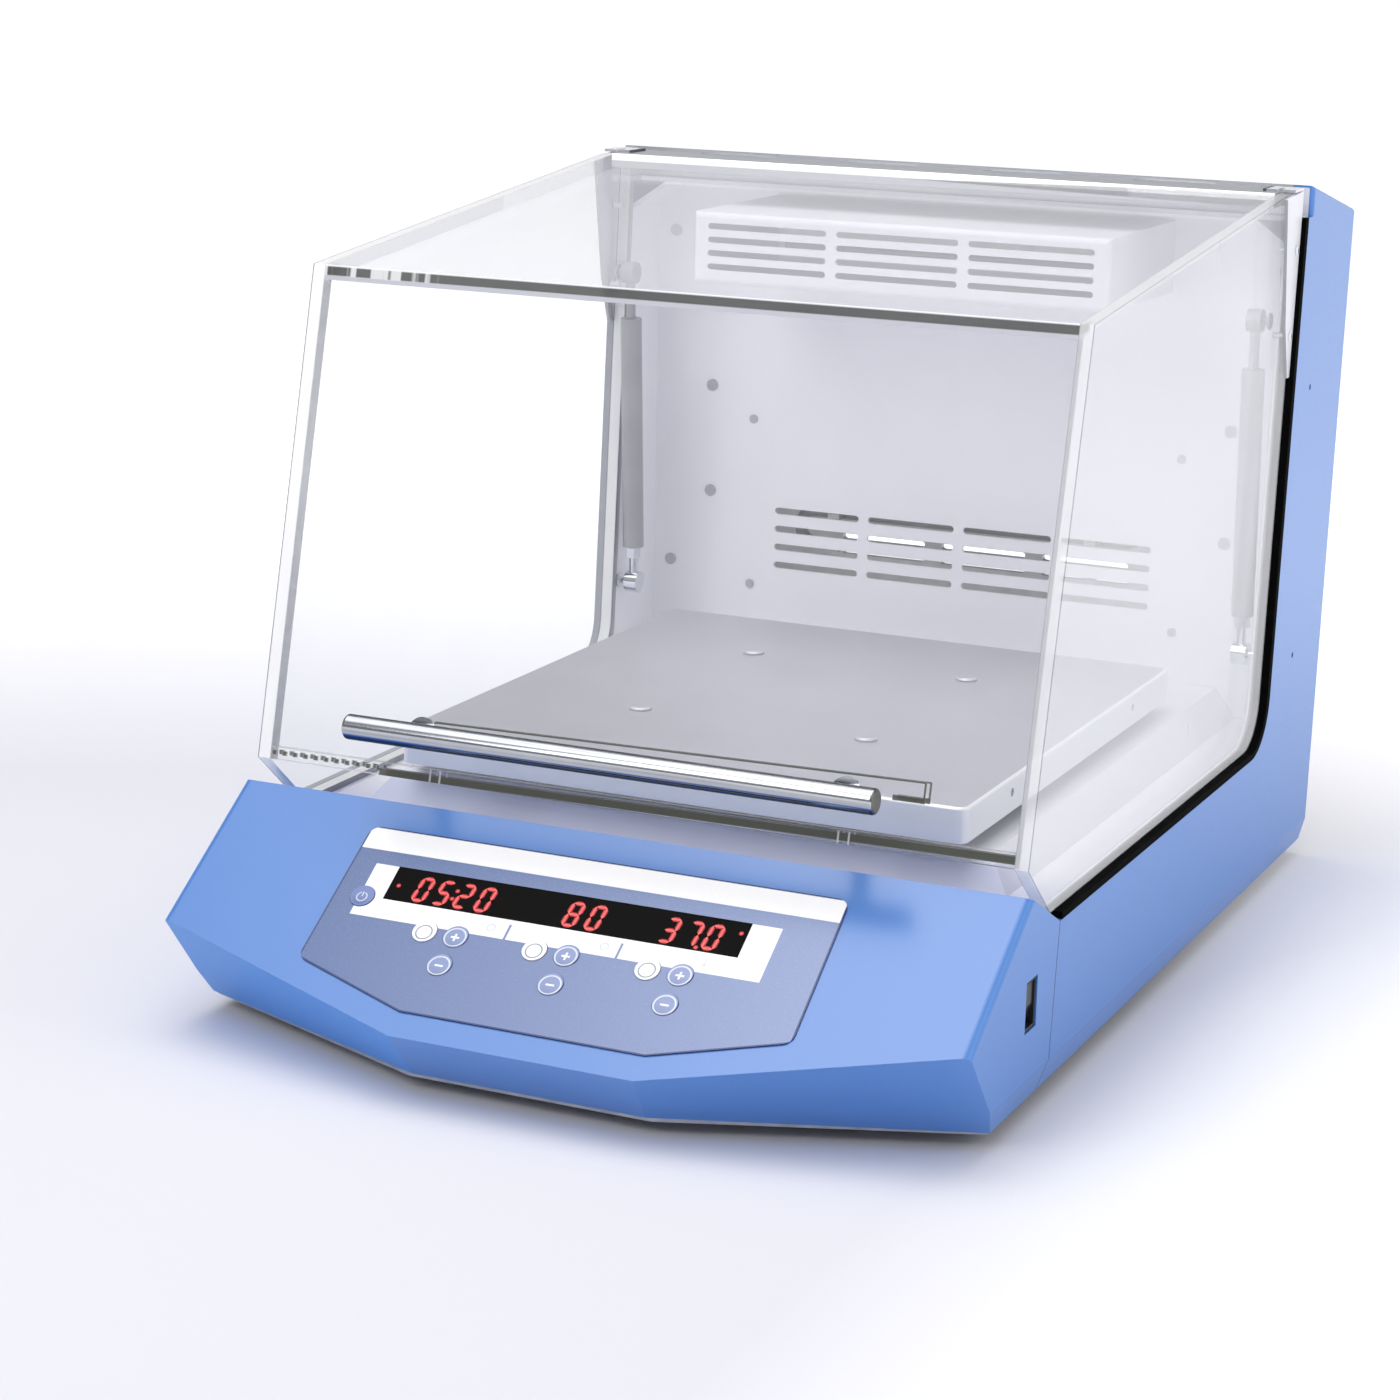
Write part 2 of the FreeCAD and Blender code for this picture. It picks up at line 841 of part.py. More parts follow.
def rear_liner():
    front = housing_front(side_top_height) - cut_overrun
    deep = back_wall_y + liner_wall

    def channel(wall, y_low, y_high):
        corners = [(Vector(x, y_low, z), 0) for x, z in liner_section(wall)]
        return rounded_outline(corners).extrude(Vector(0, y_high - y_low, 0))

    outer = channel(liner_wall, front, deep)
    hollow = channel(0, front - cut_overrun, back_wall_y)
    low = side_top_height
    shift = shell_wall + seat_gap
    ahead = side_profile([
        (front - cut_overrun, low - cut_overrun),
        (housing_front(low - cut_overrun) + shift, low - cut_overrun),
        (housing_front(overall_height) + shift, overall_height),
        (front - cut_overrun, overall_height),
    ], -body_width, body_width)
    liner = outer.cut([hollow, ahead])
    span = 2 * (chamber_half - wall_slot_side_space)
    slots = slot_grid(
        wall_slot_columns, slot_rows, slot_length(span, wall_slot_columns, wall_slot_gap), wall_slot_gap,
        wall_slot_height, wall_slot_pitch, side_top_height + wall_slot_top_rise,
        back_wall_y - cut_overrun, deep + cut_overrun,
    )
    inner = duct_half_width - duct_mouth_margin
    top = overall_height - duct_top_drop
    mouth = box(
        -inner, inner, back_wall_y - cut_overrun, deep + cut_overrun,
        top - duct_height + duct_mouth_margin, top - duct_mouth_margin,
    )
    holes = []
    for place, radius in liner_screw_places():
        start = place - Vector(0, cut_overrun, 0)
        holes.append(cylinder(radius / 2 + running_gap, 2 * cut_overrun, start, Vector(0, 1, 0)))
    return liner.cut(slots + [mouth] + holes)


def slot_length(span, columns, gap):
    """Length of each slot in a row that fills a span."""
    return (span - (columns - 1) * gap) / columns


def air_duct_cover():
    top = overall_height - duct_top_drop
    low = top - duct_height
    front = back_wall_y - duct_depth
    outer = box(-duct_half_width, duct_half_width, front, back_wall_y, low, top)
    edges = [edge for edge in outer.Edges if edge.CenterOfMass.y < front + duct_wall]
    outer = outer.makeFillet(duct_edge_radius, edges)
    side = duct_half_width - duct_wall
    hollow = box(-side, side, front + duct_wall, back_wall_y + cut_overrun, low + duct_wall, top - duct_wall)
    span = 2 * (duct_half_width - duct_slot_margin)
    slots = slot_grid(
        duct_slot_columns, slot_rows, slot_length(span, duct_slot_columns, duct_slot_gap), duct_slot_gap,
        duct_slot_height, duct_slot_pitch, top - duct_slot_drop,
        front - cut_overrun, front + duct_wall + cut_overrun,
    )
    return outer.cut([hollow] + slots)


# Seals on the body that the hood closes on

def lid_seals():
    low = side_top_height
    top = housing_ledge_height
    start = console_rear_y + seal_front_back
    seals = []
    for side in (-1, 1):
        outer = side * half_width
        inner = side * (half_width - seal_width)
        seals.append(side_profile([
            (start, low),
            (start, low + seal_height),
            (housing_front(low + seal_height) - seal_depth, low + seal_height, seal_corner_radius),
            (housing_front(top) - seal_depth, top),
            (housing_front(top), top),
            (housing_front(low), low, housing_corner_radius),
        ], min(outer, inner), max(outer, inner)))
    return Part.makeCompound(seals)


# Clear hood

hood_front_bottom_y = console_top_y + hood_front_bottom_back
hood_front_bottom_z = console_height + hood_front_bottom_lift
hood_front_top_y = hood_front_bottom_y + hood_front_top_y_back
hood_front_top_z = overall_height - hood_front_top_drop
hood_top_rear_y = rear_y - roof_depth - hood_strip_depth
hood_top_rear_z = overall_height - hood_top_rear_drop
hood_front_rise = hood_front_top_z - hood_front_bottom_z
hood_front_length = math.hypot(hood_front_top_y_back, hood_front_rise)
hood_front_angle = math.degrees(math.atan2(hood_front_rise, hood_front_top_y_back))
hood_top_run = hood_top_rear_y - hood_front_top_y
hood_top_rise = hood_top_rear_z - hood_front_top_z
hood_top_length = math.hypot(hood_top_run, hood_top_rise)
hood_top_angle = math.degrees(math.atan2(hood_top_rise, hood_top_run))
hinge_top_z = hinge_z + hinge_barrel_radius
hood_bottom_z = side_top_height + seal_height + seat_gap


def hood_rear(z):
    """Depth position of the hood's rear edge at height z."""
    return housing_front(z) - seal_depth - lid_gap


def on_hood_front(shape):
    """Set a shape drawn flat, with y up, on the hood's front face."""
    return tilted(shape, hood_front_bottom_y, hood_front_bottom_z, hood_front_angle)


def on_hood_top(shape):
    """Set a shape drawn flat, with y towards the rear, on the hood's top face."""
    return tilted(shape, hood_front_top_y, hood_front_top_z, hood_top_angle)


def hood_top_slab(half, front_length):
    return on_hood_top(box(-half, half, -front_length, hood_top_length, -acrylic, 0))


def hood_top():
    ahead = on_hood_front(box(-body_width, body_width, -space_size, space_size, 0, space_size))
    behind = box(-body_width, body_width, hood_top_rear_y, space_size, 0, space_size)
    return hood_top_slab(hood_inner_half, acrylic + cut_overrun).cut([ahead, behind])


def hood_front():
    panel = on_hood_front(box(-hood_inner_half, hood_inner_half, 0, hood_front_length + acrylic, -acrylic, 0))
    above = on_hood_top(box(-body_width, body_width, -space_size, space_size, -acrylic, space_size))
    drill = cylinder(standoff_radius / 2 + panel_gap, 2 * cut_overrun + acrylic, Vector(0, 0, 0))
    holes = []
    for side in (-1, 1):
        hole = drill.copy()
        hole.translate(Vector(side * standoff_spread, handle_rise, -acrylic - cut_overrun))
        holes.append(on_hood_front(hole))
    return panel.cut([above] + holes)


def hood_side(side):
    inner = side * hood_inner_half
    outer = side * hood_outer_half
    panel = side_profile([
        (hood_front_bottom_y, hood_front_bottom_z),
        (hood_front_top_y, hood_front_top_z),
        (hood_top_rear_y, hood_top_rear_z),
        (hood_rear(hinge_top_z), hinge_top_z),
        (hood_rear(hood_bottom_z), hood_bottom_z, seal_corner_radius),
        (hood_front_bottom_y + hood_bottom_front_back - hood_front_bottom_back, hood_bottom_z),
    ], min(inner, outer), max(inner, outer))
    holes = [cylinder(screw_shank(), acrylic + 2 * cut_overrun,
                      Vector(side * (hood_inner_half - cut_overrun), y, z), Vector(side, 0, 0))
             for y, z in hood_screw_places()]
    return panel.cut(holes)


def hood_screw_places():
    """Places of the two screws through each hinge arm."""
    places = []
    for drop in (hood_screw_high_drop, hood_screw_low_drop):
        z = hinge_z - drop
        places.append((hood_rear(z) - hood_screw_ahead + arm_tip_width, z))
    return places


def knuckle_spans(owner):
    """x limits of every second knuckle along the hinge."""
    pitch = 2 * hood_inner_half / knuckle_count
    spans = []
    for index in range(owner, knuckle_count, 2):
        low = -hood_inner_half + index * pitch + knuckle_gap / 2
        spans.append((low, low + pitch - knuckle_gap))
    return spans


def barrel(low, high):
    start = Vector(low, hinge_y, hinge_z)
    return cylinder(hinge_barrel_radius, high - low, start, Vector(1, 0, 0))


def hinge_bore():
    radius = hinge_pin_radius + running_gap
    start = Vector(-body_width, hinge_y, hinge_z)
    return cylinder(radius, 2 * body_width, start, Vector(1, 0, 0))


def hinge_strip():
    """Hood leaf: rail behind the top panel, flat strip over it and its knuckles."""
    rail_back = hood_top_rear_y + hinge_rail_depth
    bottom = hinge_top_z - hinge_rail_height
    rail = box(-hood_inner_half, hood_inner_half, hood_top_rear_y, rail_back, bottom, hinge_top_z)
    pieces = []
    for low, high in knuckle_spans(0):
        pieces.append(box(low, high, rail_back, hinge_y, hinge_top_z - hinge_leaf, hinge_top_z))
        pieces.append(barrel(low, high))
    strip_back = hinge_y - hinge_barrel_radius - knuckle_gap
    seat = hinge_top_z - hinge_leaf
    strip = box(-hood_inner_half, hood_inner_half, rail_back, strip_back, seat, hinge_top_z)
    return rail.fuse(pieces + [strip]).cut(hinge_bore()).removeSplitter()


def hinge_housing_leaf():
    """Housing leaf: knuckles on a plate that covers the roof's front lip."""
    wall = rear_y - roof_depth
    seat = hinge_z - hinge_barrel_radius
    front = wall - hinge_leaf
    plate = box(-hood_inner_half, hood_inner_half, front, wall, housing_ledge_height, overall_height)
    pieces = []
    for start, end in knuckle_spans(1):
        pieces.append(box(start, end, hinge_y, wall, seat, seat + hinge_leaf))
        pieces.append(barrel(start, end))
    return plate.fuse(pieces).cut(hinge_bore()).removeSplitter()


def hinge_pin():
    start = Vector(-hood_inner_half, hinge_y, hinge_z)
    return cylinder(hinge_pin_radius, 2 * hood_inner_half, start, Vector(1, 0, 0))


def hinge_arms():
    """White plates on the hood's sides, with a cap folded over the top edge."""
    arms = []
    for side in (-1, 1):
        inner = side * hood_outer_half
        outer = side * (hood_outer_half + arm_thickness)
        shoulder = hinge_top_z - arm_shoulder_drop
        tip = hinge_top_z - arm_tip_drop
        plate = side_profile([
            (hood_rear(hinge_top_z), hinge_top_z),
            (hood_rear(hinge_top_z) - arm_width_top, hinge_top_z - hood_top_rear_drop),
            (hood_rear(shoulder) - arm_width_top / 2, shoulder),
            (hood_rear(tip) - arm_tip_width, tip),
            (hood_rear(tip), tip),
        ], min(inner, outer), max(inner, outer))
        cap_inner = side * (hood_inner_half - cap_length / 2)
        cap = box(
            min(cap_inner, outer), max(cap_inner, outer),
            hood_rear(hinge_top_z) - cap_length, hood_rear(hinge_top_z),
            hinge_top_z, hinge_top_z + cap_height,
        )
        notch_low = side * (hood_inner_half - cap_notch / 2)
        notch_high = side * (hood_inner_half + cap_notch / 2)
        notch = box(
            min(notch_low, notch_high), max(notch_low, notch_high),
            hood_rear(hinge_top_z) - cap_length - cut_overrun, hood_rear(hinge_top_z) - cap_length / 2,
            hinge_top_z, hinge_top_z + cut_overrun,
        )
        start = side * (hood_outer_half - cut_overrun)
        holes = [cylinder(screw_shank(), 2 * cut_overrun, Vector(start, y, z), Vector(side, 0, 0))
                 for y, z in hood_screw_places()]
        arms.append(plate.fuse(cap.cut(notch)).cut(holes))
    return Part.makeCompound(arms)


def hood_screws():
    screws = []
    for side in (-1, 1):
        for y, z in hood_screw_places():
            start = Vector(side * (hood_outer_half + arm_thickness), y, z)
            screws.append(screw(start, Vector(-side, 0, 0), screw_head_radius, acrylic + arm_thickness))
    return Part.makeCompound(screws)


def handle_bar():
    start = Vector(-handle_length / 2, handle_rise, handle_reach)
    bar = cylinder(handle_radius, handle_length, start, Vector(1, 0, 0))
    bar = bar.makeFillet(handle_end_round, [edge for edge in bar.Edges if edge.isClosed()])
    holes = [cylinder(standoff_radius / 2 + running_gap, handle_reach,
                      Vector(side * standoff_spread, handle_rise, 0)) for side in (-1, 1)]
    return on_hood_front(bar.cut(holes))


def handle_standoffs():
    posts = []
    for side in (-1, 1):
        x = side * standoff_spread
        post = cylinder(standoff_radius, handle_reach, Vector(x, handle_rise, 0))
        foot = cylinder(standoff_foot_radius, standoff_foot_height, Vector(x, handle_rise, 0))
        spigot = cylinder(standoff_radius / 2, 2 * acrylic, Vector(x, handle_rise, -acrylic))
        behind = -acrylic - standoff_foot_height
        nut = cylinder(standoff_radius, standoff_foot_height, Vector(x, handle_rise, behind))
        bar = cylinder(handle_radius + running_gap, handle_length,
                       Vector(-handle_length / 2, handle_rise, handle_reach), Vector(1, 0, 0))
        posts.append(on_hood_front(post.cut(bar).fuse([foot, spigot, nut])))
    return Part.makeCompound(posts)


# Gas struts

strut_low_z = side_top_height + strut_lower_rise
strut_low_y = housing_front(strut_low_z) + strut_lower_behind
strut_high_z = hinge_z - (hinge_z - strut_low_z) * strut_upper_share
strut_high_y = hinge_y - strut_upper_ahead
strut_length = math.hypot(strut_high_y - strut_low_y, strut_high_z - strut_low_z)
strut_angle = math.degrees(math.atan2(strut_low_y - strut_high_y, strut_high_z - strut_low_z))


def strut_reach(opening):
    """Distance between a strut's balls with the hood open by an angle."""
    turn = math.radians(opening)
    ahead = strut_high_y - hinge_y
    drop = strut_high_z - hinge_z
    y = hinge_y + ahead * math.cos(turn) + drop * math.sin(turn)
    z = hinge_z + drop * math.cos(turn) - ahead * math.sin(turn)
    return math.hypot(y - strut_low_y, z - strut_low_z)


strut_travel = strut_reach(hood_open_angle) - strut_length + strut_reserve


def on_strut(shape, side):
    """Set a shape drawn upright, with its lower ball at the origin, along a strut."""
    foot = Vector(side * strut_x, strut_low_y, strut_low_z)
    place = Placement(foot, Rotation(Vector(1, 0, 0), strut_angle))
    moved = shape.copy()
    moved.Placement = place.multiply(moved.Placement)
    return moved


def ball_socket(side, z):
    """End fitting round a ball, open towards the stud."""
    cup = cylinder(socket_radius, 2 * ball_radius, Vector(-ball_radius, 0, z), Vector(1, 0, 0))
    hollow = Part.makeSphere(ball_radius + running_gap, Vector(0, 0, z))
    reach = socket_radius + cut_overrun
    throat = cylinder(stud_radius + panel_gap, reach, Vector(0, 0, z), Vector(side, 0, 0))
    return cup.cut([hollow, throat])


def ball_stud(side, face_x, z):
    """Ball on a stud with a flange on a wall, drawn at the strut's own origin."""
    reach = abs(face_x) - strut_x
    ball = Part.makeSphere(ball_radius, Vector(0, 0, z))
    stud = cylinder(stud_radius, reach, Vector(0, 0, z), Vector(side, 0, 0))
    flange_start = Vector(side * (reach - stud_flange_height), 0, z)
    flange = cylinder(stud_flange_radius, stud_flange_height, flange_start, Vector(side, 0, 0))
    return ball.fuse([stud, flange])


def strut_rod(side):
    """Rod with piston, hex collar and lower socket."""
    tip = strut_bottom_gap + strut_travel + strut_gland + strut_piston + panel_gap
    rod = cylinder(strut_rod_radius, tip - socket_radius / 2, Vector(0, 0, socket_radius / 2))
    piston = cylinder(strut_radius - strut_wall - running_gap, strut_piston, Vector(0, 0, tip - strut_piston))
    collar_low = strut_bottom_gap - collar_height - panel_gap
    collar = hexagon_bar(collar_radius, collar_height, collar_low)
    hollow = Part.makeSphere(ball_radius + running_gap, Vector(0, 0, 0))
    body = rod.fuse([piston, collar]).cut(hollow)
    return on_strut(body.fuse(ball_socket(side, 0)), side)


def hexagon_bar(radius, height, z):
    sides = 6
    turns = [math.tau * side / sides for side in range(sides + 1)]
    points = [Vector(radius * math.cos(turn), radius * math.sin(turn), z) for turn in turns]
    return Part.Face(Part.makePolygon(points)).extrude(Vector(0, 0, height))


def strut_cylinder(side):
    """Pressure tube with gland, neck, upper socket and the stud that rides with it."""
    tube_length = strut_length - strut_neck - strut_bottom_gap
    low = strut_bottom_gap
    tube = cylinder(strut_radius, tube_length, Vector(0, 0, low))
    bore = cylinder(strut_radius - strut_wall, tube_length - strut_gland - strut_radius,
                    Vector(0, 0, low + strut_gland))
    below = low - cut_overrun / 2
    gland = cylinder(strut_rod_radius + running_gap, strut_gland + cut_overrun, Vector(0, 0, below))
    neck = cylinder(strut_rod_radius, strut_neck, Vector(0, 0, low + tube_length))
    hollow = Part.makeSphere(ball_radius + running_gap, Vector(0, 0, strut_length))
    stem = neck.cut(hollow)
    stud = ball_stud(side, hood_inner_half - seat_gap, strut_length)
    shell = tube.cut([bore, gland]).fuse([stem, ball_socket(side, strut_length)])
    return on_strut(Part.makeCompound([shell, stud]), side)


def strut_lower_studs():
    studs = [on_strut(ball_stud(side, chamber_half, 0), side) for side in (-1, 1)]
    return Part.makeCompound(studs)


# Tray on its carrier

def tray():
    low = tray_top_height - tray_flange
    radius = tray_corner_radius

    def pan(inset, z_low, z_high, corner):
        side = tray_half - inset
        front = tray_front_y + inset
        back = tray_back_y - inset
        return plan_profile([
            (-side, front, corner), (side, front, corner), (side, back, corner), (-side, back, corner),
        ], z_low, z_high)

    outer = pan(0, low, tray_top_height, radius)
    rim = [edge for edge in outer.Edges if edge.CenterOfMass.z > tray_top_height - panel_gap]
    outer = outer.makeFillet(tray_thickness, rim)
    hollow = pan(tray_thickness, low - cut_overrun, tray_top_height - tray_thickness, radius - tray_thickness)
    below = tray_top_height - cut_overrun
    holes = [cylinder(bolt_shank_radius + panel_gap, 2 * cut_overrun, Vector(x, y, below))
             for x, y in tray_bolt_places()]
    hole_z = tray_top_height - tray_hole_drop
    for side in (-1, 1):
        start = Vector(side * tray_half * tray_front_hole_share, tray_front_y - cut_overrun, hole_z)
        length = tray_back_y - tray_front_y + 2 * cut_overrun
        holes.append(cylinder(tray_hole_radius, length, start, Vector(0, 1, 0)))
        y = tray_centre_y + side * tray_half * tray_side_hole_share
        start = Vector(-tray_half - cut_overrun, y, hole_z)
        holes.append(cylinder(tray_hole_radius, 2 * tray_half + 2 * cut_overrun, start, Vector(1, 0, 0)))
    return outer.cut([hollow] + holes)


def tray_bolt_places():
    return [(side * bolt_spread_x, tray_centre_y + bolt_shift + end * bolt_spread_y)
            for side in (-1, 1) for end in (-1, 1)]


carrier_top = tray_top_height - tray_thickness
carrier_low = carrier_top - carrier_thickness
crank_head_low = floor_top + boss_height + crank_head_lift
crank_head_top = crank_head_low + crank_head_height


def pin_places():
    """Plan positions of the three eccentric pins, with their radii."""
    return [(x, y - orbit_radius, radius) for (x, y), radius in
            zip(shaft_places(), (eccentric_radius, idler_pin_radius, idler_pin_radius))]


def tray_carrier():
    """Cross-shaped carrier with hubs and the bearing rings in them."""
    arm = carrier_arm_width / 2
    reach_x = idler_spread + arm
    first, last = tray_bolt_places()[0], tray_bolt_places()[-1]
    cross = box(-reach_x, reach_x, tray_centre_y - arm, tray_centre_y + arm, carrier_low, carrier_top)
    rails = [box(side * bolt_spread_x - arm / 2, side * bolt_spread_x + arm / 2, first[1] - arm / 2,
                 last[1] + arm / 2, carrier_low, carrier_top) for side in (-1, 1)]
    hubs = []
    bores = []
    rings = []
    hub_low = crank_head_top + seat_gap
    for x, y, radius in pin_places():
        ring = bearing_ring if x == 0 else idler_bearing_ring
        outer = radius + ring
        below = hub_low - cut_overrun / 2
        hubs.append(cylinder(outer + hub_wall, carrier_low - hub_low, Vector(x, y, hub_low)))
        bores.append(cylinder(outer, carrier_top - hub_low + cut_overrun, Vector(x, y, below)))
        body = cylinder(outer, carrier_top - hub_low, Vector(x, y, hub_low))
        rings.append(body.cut(cylinder(radius + running_gap, carrier_top, Vector(x, y, floor_top))))
    below = carrier_low - cut_overrun
    reach = carrier_thickness + 2 * cut_overrun
    holes = [cylinder(bolt_shank_radius + running_gap, reach, Vector(x, y, below))
             for x, y in tray_bolt_places()]
    carrier = cross.fuse(rails + hubs).cut(bores + holes)
    return Part.makeCompound([carrier] + rings)


def tray_bolts():
    bolts = []
    for x, y in tray_bolt_places():
        head = cylinder(bolt_head_radius, bolt_head_height, Vector(x, y, tray_top_height))
        head = head.makeChamfer(bolt_head_height / 2, [head.Edges[0]])
        shank_low = carrier_low
        shank = cylinder(bolt_shank_radius, tray_top_height - shank_low, Vector(x, y, shank_low))
        bolts.append(head.fuse(shank))
    return Part.makeCompound(bolts)


# Drive below the floor

plate_low = foot_height + drive_plate_height
plate_top = plate_low + drive_plate_thickness
pulley_top = plate_low - bearing_height - pulley_drop
pin_top = carrier_top - seat_gap


def drive_crank():
    """Vertical shaft with its head and eccentric pin turned in one piece."""
    low = pulley_top - pulley_height - pulley_flange
    shaft = cylinder(shaft_radius, crank_head_low - low, Vector(0, crank_y, low))
    head = cylinder(crank_head_radius, crank_head_height, Vector(0, crank_y, crank_head_low))
    pin_y = crank_y - orbit_radius
    pin = cylinder(eccentric_radius, pin_top - crank_head_low, Vector(0, pin_y, crank_head_low))
    return shaft.fuse([head, pin]).removeSplitter()


def idler_crank(side):
    low = plate_low - bearing_height
    x = side * idler_spread
    shaft = cylinder(idler_shaft_radius, crank_head_low - low, Vector(x, crank_y, low))
    head = cylinder(idler_head_radius, crank_head_height, Vector(x, crank_y, crank_head_low))
    pin_y = crank_y - orbit_radius
    pin = cylinder(idler_pin_radius, pin_top - crank_head_low, Vector(x, pin_y, crank_head_low))
    return shaft.fuse([head, pin]).removeSplitter()


def flanged_wheel(radius, height, flange, bore, centre, low):
    """Belt wheel with a thin flange at each end."""
    rim = cylinder(radius, height, Vector(centre[0], centre[1], low))
    lips = [cylinder(radius + flange, flange / 2, Vector(centre[0], centre[1], z))
            for z in (low, low + height - flange / 2)]
    hole = cylinder(bore, height + 2 * cut_overrun, Vector(centre[0], centre[1], low - cut_overrun))
    return rim.fuse(lips).cut(hole).removeSplitter()


def drive_pulley():
    bore = shaft_radius + running_gap
    base = pulley_top - pulley_height
    wheel = flanged_wheel(pulley_radius, pulley_height, pulley_flange, bore, (0, crank_y), base)
    ring = (pulley_radius + shaft_radius) / 2
    low = pulley_top - pulley_height - cut_overrun
    windows = []
    for index in range(pulley_window_count):
        turn = math.tau * index / pulley_window_count
        centre = Vector(ring * math.cos(turn), crank_y + ring * math.sin(turn), low)
        windows.append(cylinder(pulley_window_radius, pulley_height + 2 * cut_overrun, centre))
    return wheel.cut(windows)


def motor_place():
    return (motor_plate_inset - drive_plate_half, crank_y - motor_offset_y)


def motor_pulley():
    """Small belt wheel with the motor shaft that it sits on."""
    x, y = motor_place()
    low = pulley_top - pulley_height
    bore = motor_shaft_radius + running_gap
    wheel = flanged_wheel(motor_pulley_radius, pulley_height, pulley_flange, bore, (x, y), low)
    shaft = cylinder(motor_shaft_radius, plate_top + motor_height / 2 - low, Vector(x, y, low))
    return Part.makeCompound([wheel, shaft])


def motor():
    x, y = motor_place()
    can = cylinder(motor_radius, motor_height, Vector(x, y, plate_top))
    can = can.makeChamfer(motor_edge, [can.Edges[0]])
    bore = cylinder(motor_shaft_radius + running_gap, motor_height / 2 + seat_gap, Vector(x, y, plate_top))
    return can.cut(bore)


def belt_loop(gap, low, high):
    """Solid inside a belt that runs round both wheels at a gap."""
    big = pulley_radius + gap
    small = motor_pulley_radius + gap
    x, y = motor_place()
    span = Vector(x, y - crank_y, 0)
    length = span.Length
    heading = span.normalize()
    across = Vector(-heading.y, heading.x, 0)
    lean = math.asin((big - small) / length)
    centre = Vector(0, crank_y, low)
    other = Vector(x, y, low)
    corners = []
    for sign in (1, -1):
        direction = heading * math.sin(lean) + across * (sign * math.cos(lean))
        corners.append((centre + direction * big, other + direction * small))
    points = [corners[0][0], corners[0][1], corners[1][1], corners[1][0], corners[0][0]]
    web = Part.Face(Part.makePolygon(points)).extrude(Vector(0, 0, high - low))
    wheels = [cylinder(big, high - low, centre), cylinder(small, high - low, other)]
    return web.fuse(wheels).removeSplitter()


def drive_belt():
    middle = pulley_top - pulley_height / 2
    low = middle - belt_height / 2
    high = middle + belt_height / 2
    outer = belt_loop(seat_gap + belt_thickness, low, high)
    inner = belt_loop(seat_gap, low - cut_overrun, high + cut_overrun)
    return outer.cut(inner)


def counterweight():
    """Sector of steel clamped on the shaft opposite the eccentric pin."""
    low = plate_top + bearing_height
    half = math.radians(counterweight_half_angle)
    middle = Vector(0, crank_y + counterweight_radius, low)
    ends = [Vector(side * counterweight_radius * math.sin(half),
                   crank_y + counterweight_radius * math.cos(half), low) for side in (-1, 1)]
    centre = Vector(0, crank_y - shaft_radius, low)
    arc = Part.Arc(ends[0], middle, ends[1]).toShape()
    sides = [Part.LineSegment(ends[1], centre).toShape(), Part.LineSegment(centre, ends[0]).toShape()]
    sector = Part.Face(Part.Wire([arc] + sides)).extrude(Vector(0, 0, counterweight_height))
    hub = cylinder(shaft_radius + hub_wall, counterweight_height, Vector(0, crank_y, low))
    start = Vector(0, crank_y, low - cut_overrun)
    bore = cylinder(shaft_radius + running_gap, counterweight_height + 2 * cut_overrun, start)
    return sector.fuse(hub).cut(bore).removeSplitter()


def drive_plate():
    """Steel plate on legs that carries the shafts and the motor."""
    side = drive_plate_half
    front = crank_y - drive_plate_depth / 2 - orbit_radius
    back = crank_y + drive_plate_depth / 2 - orbit_radius
    corner = leg_inset
    plate = plan_profile([(-side, front, corner), (side, front, corner), (side, back, corner),
                          (-side, back, corner)], plate_low, plate_top)
    floor = foot_height + pan_thickness
    legs = [cylinder(leg_radius, plate_low - floor, Vector(x, y, floor))
            for x in (-side + corner, side - corner) for y in (front + corner, back - corner)]
    hubs = []
    bores = []
    for (x, y), radius, ring in zip(shaft_places(), shaft_radii(), bearing_rings()):
        outer = radius + ring
        height = 2 * bearing_height + drive_plate_thickness
        base = plate_low - bearing_height
        hubs.append(cylinder(outer + hub_wall, height, Vector(x, y, base)))
        bores.append(cylinder(outer, height + cut_overrun, Vector(x, y, base - cut_overrun / 2)))
    x, y = motor_place()
    clear = motor_shaft_radius + motor_shaft_gap
    bores.append(cylinder(clear, 2 * cut_overrun, Vector(x, y, plate_low - cut_overrun / 2)))
    return plate.fuse(legs + hubs).cut(bores).removeSplitter()


def bearing_rings():
    return [bearing_ring, idler_bearing_ring, idler_bearing_ring]


def bearings():
    """Pairs of bearings that hold each shaft in the drive plate's hubs."""
    rings = []
    for (x, y), radius, ring in zip(shaft_places(), shaft_radii(), bearing_rings()):
        for low in (plate_low - bearing_height, plate_top):
            body = cylinder(radius + ring, bearing_height, Vector(x, y, low))
            below = low - cut_overrun / 2
            bore = cylinder(radius + running_gap, bearing_height + cut_overrun, Vector(x, y, below))
            rings.append(body.cut(bore))
    return Part.makeCompound(rings)


# Control panel

def key_places():
    """Names and slope positions of the ten keys."""
    places = {"key_standby": (blue_key_x, blue_key_s)}
    for index, group in enumerate(("timer", "speed", "heat")):
        x = ring_key_first_x + index * key_group_pitch
        places["key_" + group + "_set"] = (x, ring_key_s)
        places["key_" + group + "_plus"] = (x + plus_key_offset, ring_key_s)
        places["key_" + group + "_minus"] = (x + plus_key_offset * key_minus_share, minus_key_s)
    return places


def display_block(gap, low, high):
    return box(-display_left - gap, display_right + gap, display_low_s - gap, display_high_s + gap, low, high)


